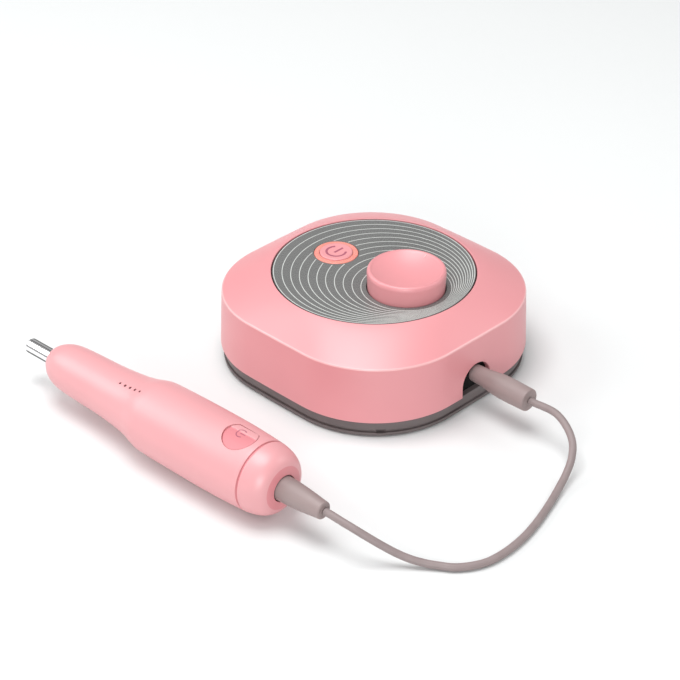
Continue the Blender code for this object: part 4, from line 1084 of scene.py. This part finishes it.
def make_housing(looks):
    outside = smooth_profile(HOUSING_OUTSIDE, 0.9)
    inside = [
        (115.1, 12.52), (115.2, 12.3), (115.2, 11.2), (63.5, 11.2), (58.0, 8.5), (50.0, 8.4),
        (50.0, 6.7), (24.0, 6.7), (24.0, 3.3), (13.0, 3.3),
    ]
    # The housing gets the lighter copy of the pink, a painted light.
    housing = solid("housing_shell", turned(outside + inside), HANDPIECE, looks["lit_hand_pink"])
    low, high = HAND_BUTTON_BACK - 2.0, 16.0
    combine(housing, "DIFFERENCE", prism(d_outline(0.15), low, high), HAND_BUTTON)
    windows = [rod(8.0, 13.0, radius, (place, 0), 24) for place, radius in light_windows()]
    combine(housing, "DIFFERENCE", merged(*windows), LIGHTS)
    settle(housing, "handpiece", "pink_shell", "handpiece_housing")


def light_windows():
    """The place and the radius of each window. The two outer ones are a little smaller."""
    for number in range(LIGHTS_COUNT):
        size = 0.85 if number in (0, LIGHTS_COUNT - 1) else 1.0
        yield LIGHTS_START + number * LIGHTS_PITCH, WINDOW_RADIUS * size


def outside_radius(place):
    """The housing's outer radius at a distance from the tip."""
    for (s0, r0), (s1, r1) in zip(HOUSING_OUTSIDE, HOUSING_OUTSIDE[1:]):
        if s0 <= place <= s1:
            return r0 + (r1 - r0) * (place - s0) / (s1 - s0)
    return HOUSING_OUTSIDE[-1][1]


def make_lights(looks):
    last = LIGHTS_START + (LIGHTS_COUNT - 1) * LIGHTS_PITCH
    outline = rectangle(LIGHTS_START - 1.2, last + 1.2, 0.9)
    guide = solid("light_guide_bar", prism(outline, 7.0, 7.9), LIGHTS, looks["guide"])
    pips = []
    for place, radius in light_windows():
        radius -= 0.12
        top = outside_radius(place) - 0.25
        profile = [(7.5, 0), (7.5, radius), (top, radius, 0.1), (top + 0.05, 0)]
        pips.append(lathed(profile, 24, "Z", (place, 0)))
    combine(guide, "UNION", merged(*pips), LIGHTS)
    settle(guide, "handpiece", "light_guide", "indicator_light_guide")


def make_tail(looks):
    """The tail cap: a narrow shoulder at the bottom of the seam, a round flank, and a flat end face
    round the strain relief."""
    shell = [
        (115.3, 12.1), (116.0, 12.1), (116.0, 12.35), (116.08, 12.48),
        *smooth_profile(TAIL_OUTSIDE, 0.4), (124.72, 7.35), (124.8, 7.0), (125.05, 5.2),
        (125.1, 4.8, 0.1), (124.8, 4.65, 0.15), (123.4, 4.65), (123.0, 7.6), (121.6, 9.3),
        (119.0, 10.4), (115.3, 10.4),
    ]
    # The tail cap gets the lighter copy of the pink, a painted light.
    cap = solid("tail_shell", lathed(shell), HANDPIECE, looks["lit_hand_pink"])
    to_handpiece = HANDPIECE.inverted()
    # Painted shade: the shoulder at the bottom of the seam is painted a darker pink.
    paint_faces(cap, looks["painted_shade_pink"], lambda face: (to_handpiece @ face.center).x / MM < SEAM_END)
    # Painted shade: the end face round the strain relief is painted a darker pink.
    paint_faces(cap, looks["end_face_shade_pink"], lambda face: (to_handpiece @ face.center).x / MM > TAIL_FACE)
    settle(cap, "handpiece", "pink_shell", "tail_cap")

    relief = [
        (121.3, 0), (121.3, 6.0, 0.2), (122.9, 6.0, 0.2), (122.9, 4.4),
        *smooth_profile([(125.0, 4.4), (130.0, 4.22), (136.0, 3.72), (141.6, 3.12)], 0.8),
        (142.3, 3.05, 0.3), (142.55, 2.4, 0.2), (142.35, 1.7, 0.15), (142.4, 1.45, 0.1),
        (142.6, 1.4), (142.6, 0),
    ]
    boot = solid("strain_boot", lathed(relief, 96), HANDPIECE, looks["rubber"])
    settle(boot, "handpiece", "mauve_rubber", "cord_strain_relief")


def button_height(u, v):
    """The handpiece button's face follows the housing. Below a straight ridge it is a shallow scoop
    for the finger."""
    face = math.sqrt(HAND_BUTTON_FACE**2 - v**2)
    if v >= SCOOP_EDGE:
        return face
    depth, rise = 0.3, 0.3
    return face - depth * min(1.0, (SCOOP_EDGE - v) / rise)


def make_hand_button(looks):
    outline = d_outline(steps=120)
    bm = bmesh.new()
    rings = [[bm.verts.new((u, v, HAND_BUTTON_BACK)) for u, v in outline]]
    edge, face_steps = 0.2, 40
    face = 1 - edge / HAND_BUTTON_RADIUS
    steps = [(1.0, edge), (1 - edge / 12, edge * 0.3)]
    steps += [(face * (1 - i / face_steps), 0.0) for i in range(face_steps)]
    for share, drop in steps:
        ring = []
        for u, v in outline:
            height = button_height(u * share, v * share) - drop
            ring.append(bm.verts.new((u * share, v * share, height)))
        rings.append(ring)
    rings.append([bm.verts.new((0, 0, button_height(0, 0)))])
    skin(bm, rings)
    bm.faces.new(rings[0])
    # The button gets the lighter copy of the pink, a painted light.
    button = solid("hand_button_cap", bm, HAND_BUTTON, looks["lit_hand_pink"])
    to_button = HAND_BUTTON.inverted()

    def is_scoop(face):
        place = to_button @ face.center / MM
        return face.normal.dot(HAND_BUTTON.col[2].xyz) > 0.5 and place.y < SCOOP_EDGE - 0.1

    # Painted shade: the scoop below the ridge is painted a darker pink.
    paint_faces(button, looks["painted_shade_pink"], is_scoop)
    settle(button, "handpiece_button", "pink_shell", "handpiece_button", crease=60)

    def height_at(place):
        return button_height(place.x, place.y)

    mark = power_mark(1.7, 0.38, 0.03, 0.5, 0.0, (-0.4, 0.9), height_at)
    add_piece("hand_button_mark", mark, HAND_BUTTON, looks["mark"], "handpiece_button", "pink_shell")


def make_chuck(looks):
    sleeve = [
        (0.2, 2.05), (0.0, 2.25, 0.05), (0.0, 2.4, 0.05), (0.4, 2.8, 0.3), (1.4, 2.8),
        (24.0, 2.8), (24.0, 2.05),
    ]
    tube = lathed(sleeve, 96)
    add_piece("chuck_tube", tube, HANDPIECE, looks["chrome"], "spindle", "chrome", "chuck_sleeve")

    jaws = [(0.6, 1.2, 0.1), (0.6, 1.75, 0.2), (14.0, 1.75), (14.0, 1.2)]
    collet = solid("collet_jaws", lathed(jaws, 48), HANDPIECE, looks["steel"])
    slit_half, slit_end = 0.14, 9.0
    for number in range(3):
        slit = prism(rectangle(0.9, 2.2, slit_half), 0.0, slit_end, lambda u, v, w: (w, v, u))
        turn = Matrix.Rotation(math.tau * number / 3, 4, "X")
        combine(collet, "DIFFERENCE", slit, HANDPIECE @ turn)
    settle(collet, "spindle", "steel", "collet")


# --- Carried-over CAD pieces
def dress_inner_parts(looks):
    """Every CAD node that no finer piece stands for gets its own worked-out material."""
    races = [f"{end}_bearing_{part}_race" for end in ("front", "rear") for part in ("outer", "inner")]
    dressed = {
        "steel": ["potentiometer_body", "potentiometer_shaft", "charge_socket", "motor_can"]
        + ["bearing_tube", "spindle_shaft", *races],
        "brass": ["potentiometer_nut", "shaft_coupling"],
        "rotor": ["motor_rotor"],
        "magnet": ["motor_magnet_upper", "motor_magnet_lower"],
        "board": ["control_board", "handpiece_switch_board"],
        "black": ["power_switch", "battery_holder", "motor_end_bell", "handpiece_switch"],
        "socket_black": ["handpiece_socket"],
        "battery": ["battery_cell_front", "battery_cell_rear"],
        "red_wire": ["battery_lead_red", "motor_lead"],
        "black_wire": ["battery_lead_black", "socket_lead", "charge_lead", "cord_core"],
    }
    for look, names in dressed.items():
        for name in names:
            frame["nodes"][name].data.materials[0] = looks[look]


# --- Floor and light
def make_floor():
    colours = (0.775, 0.79, 0.79), (0.765, 0.78, 0.78)
    look = surface("white_floor", *colours, (0.6, 0.75), (200, 4, 10))
    reach = 6.0 / MM
    bm = bmesh.new()
    bm.faces.new([bm.verts.new((x, y, 0)) for x, y in square_corners(reach)])
    floor = solid("floor", bm, Matrix.Identity(4), look)


def make_light(name, place, size, power):
    """A square softbox that faces the part."""
    lamp = bpy.data.lights.new(name, "AREA")
    lamp.size = size
    lamp.energy = power
    aimed(name, lamp, place, LIT_PLACE - Vector(place))


def make_studio():
    """A white tent, and four softboxes inside it."""
    world = bpy.data.worlds.new("studio")
    world.use_nodes = True
    background = world.node_tree.nodes["Background"]
    background.inputs["Color"].default_value = (1, 1, 1, 1)
    background.inputs["Strength"].default_value = TENT_STRENGTH
    bpy.context.scene.world = world
    for name, place, size, power in SOFTBOXES:
        make_light(name, place, size, power)
    bpy.context.scene.view_settings.view_transform = "Standard"


make_camera()
looks = make_looks()
plug_pieces = make_plug(looks)
make_cord(looks)
for make_pieces in (
    make_cover, make_tray, make_screws, make_feet, make_dial, make_lines, make_power_button, make_knob,
    make_housing, make_lights, make_tail, make_hand_button, make_chuck, dress_inner_parts,
):
    make_pieces(looks)
make_floor()
make_studio()
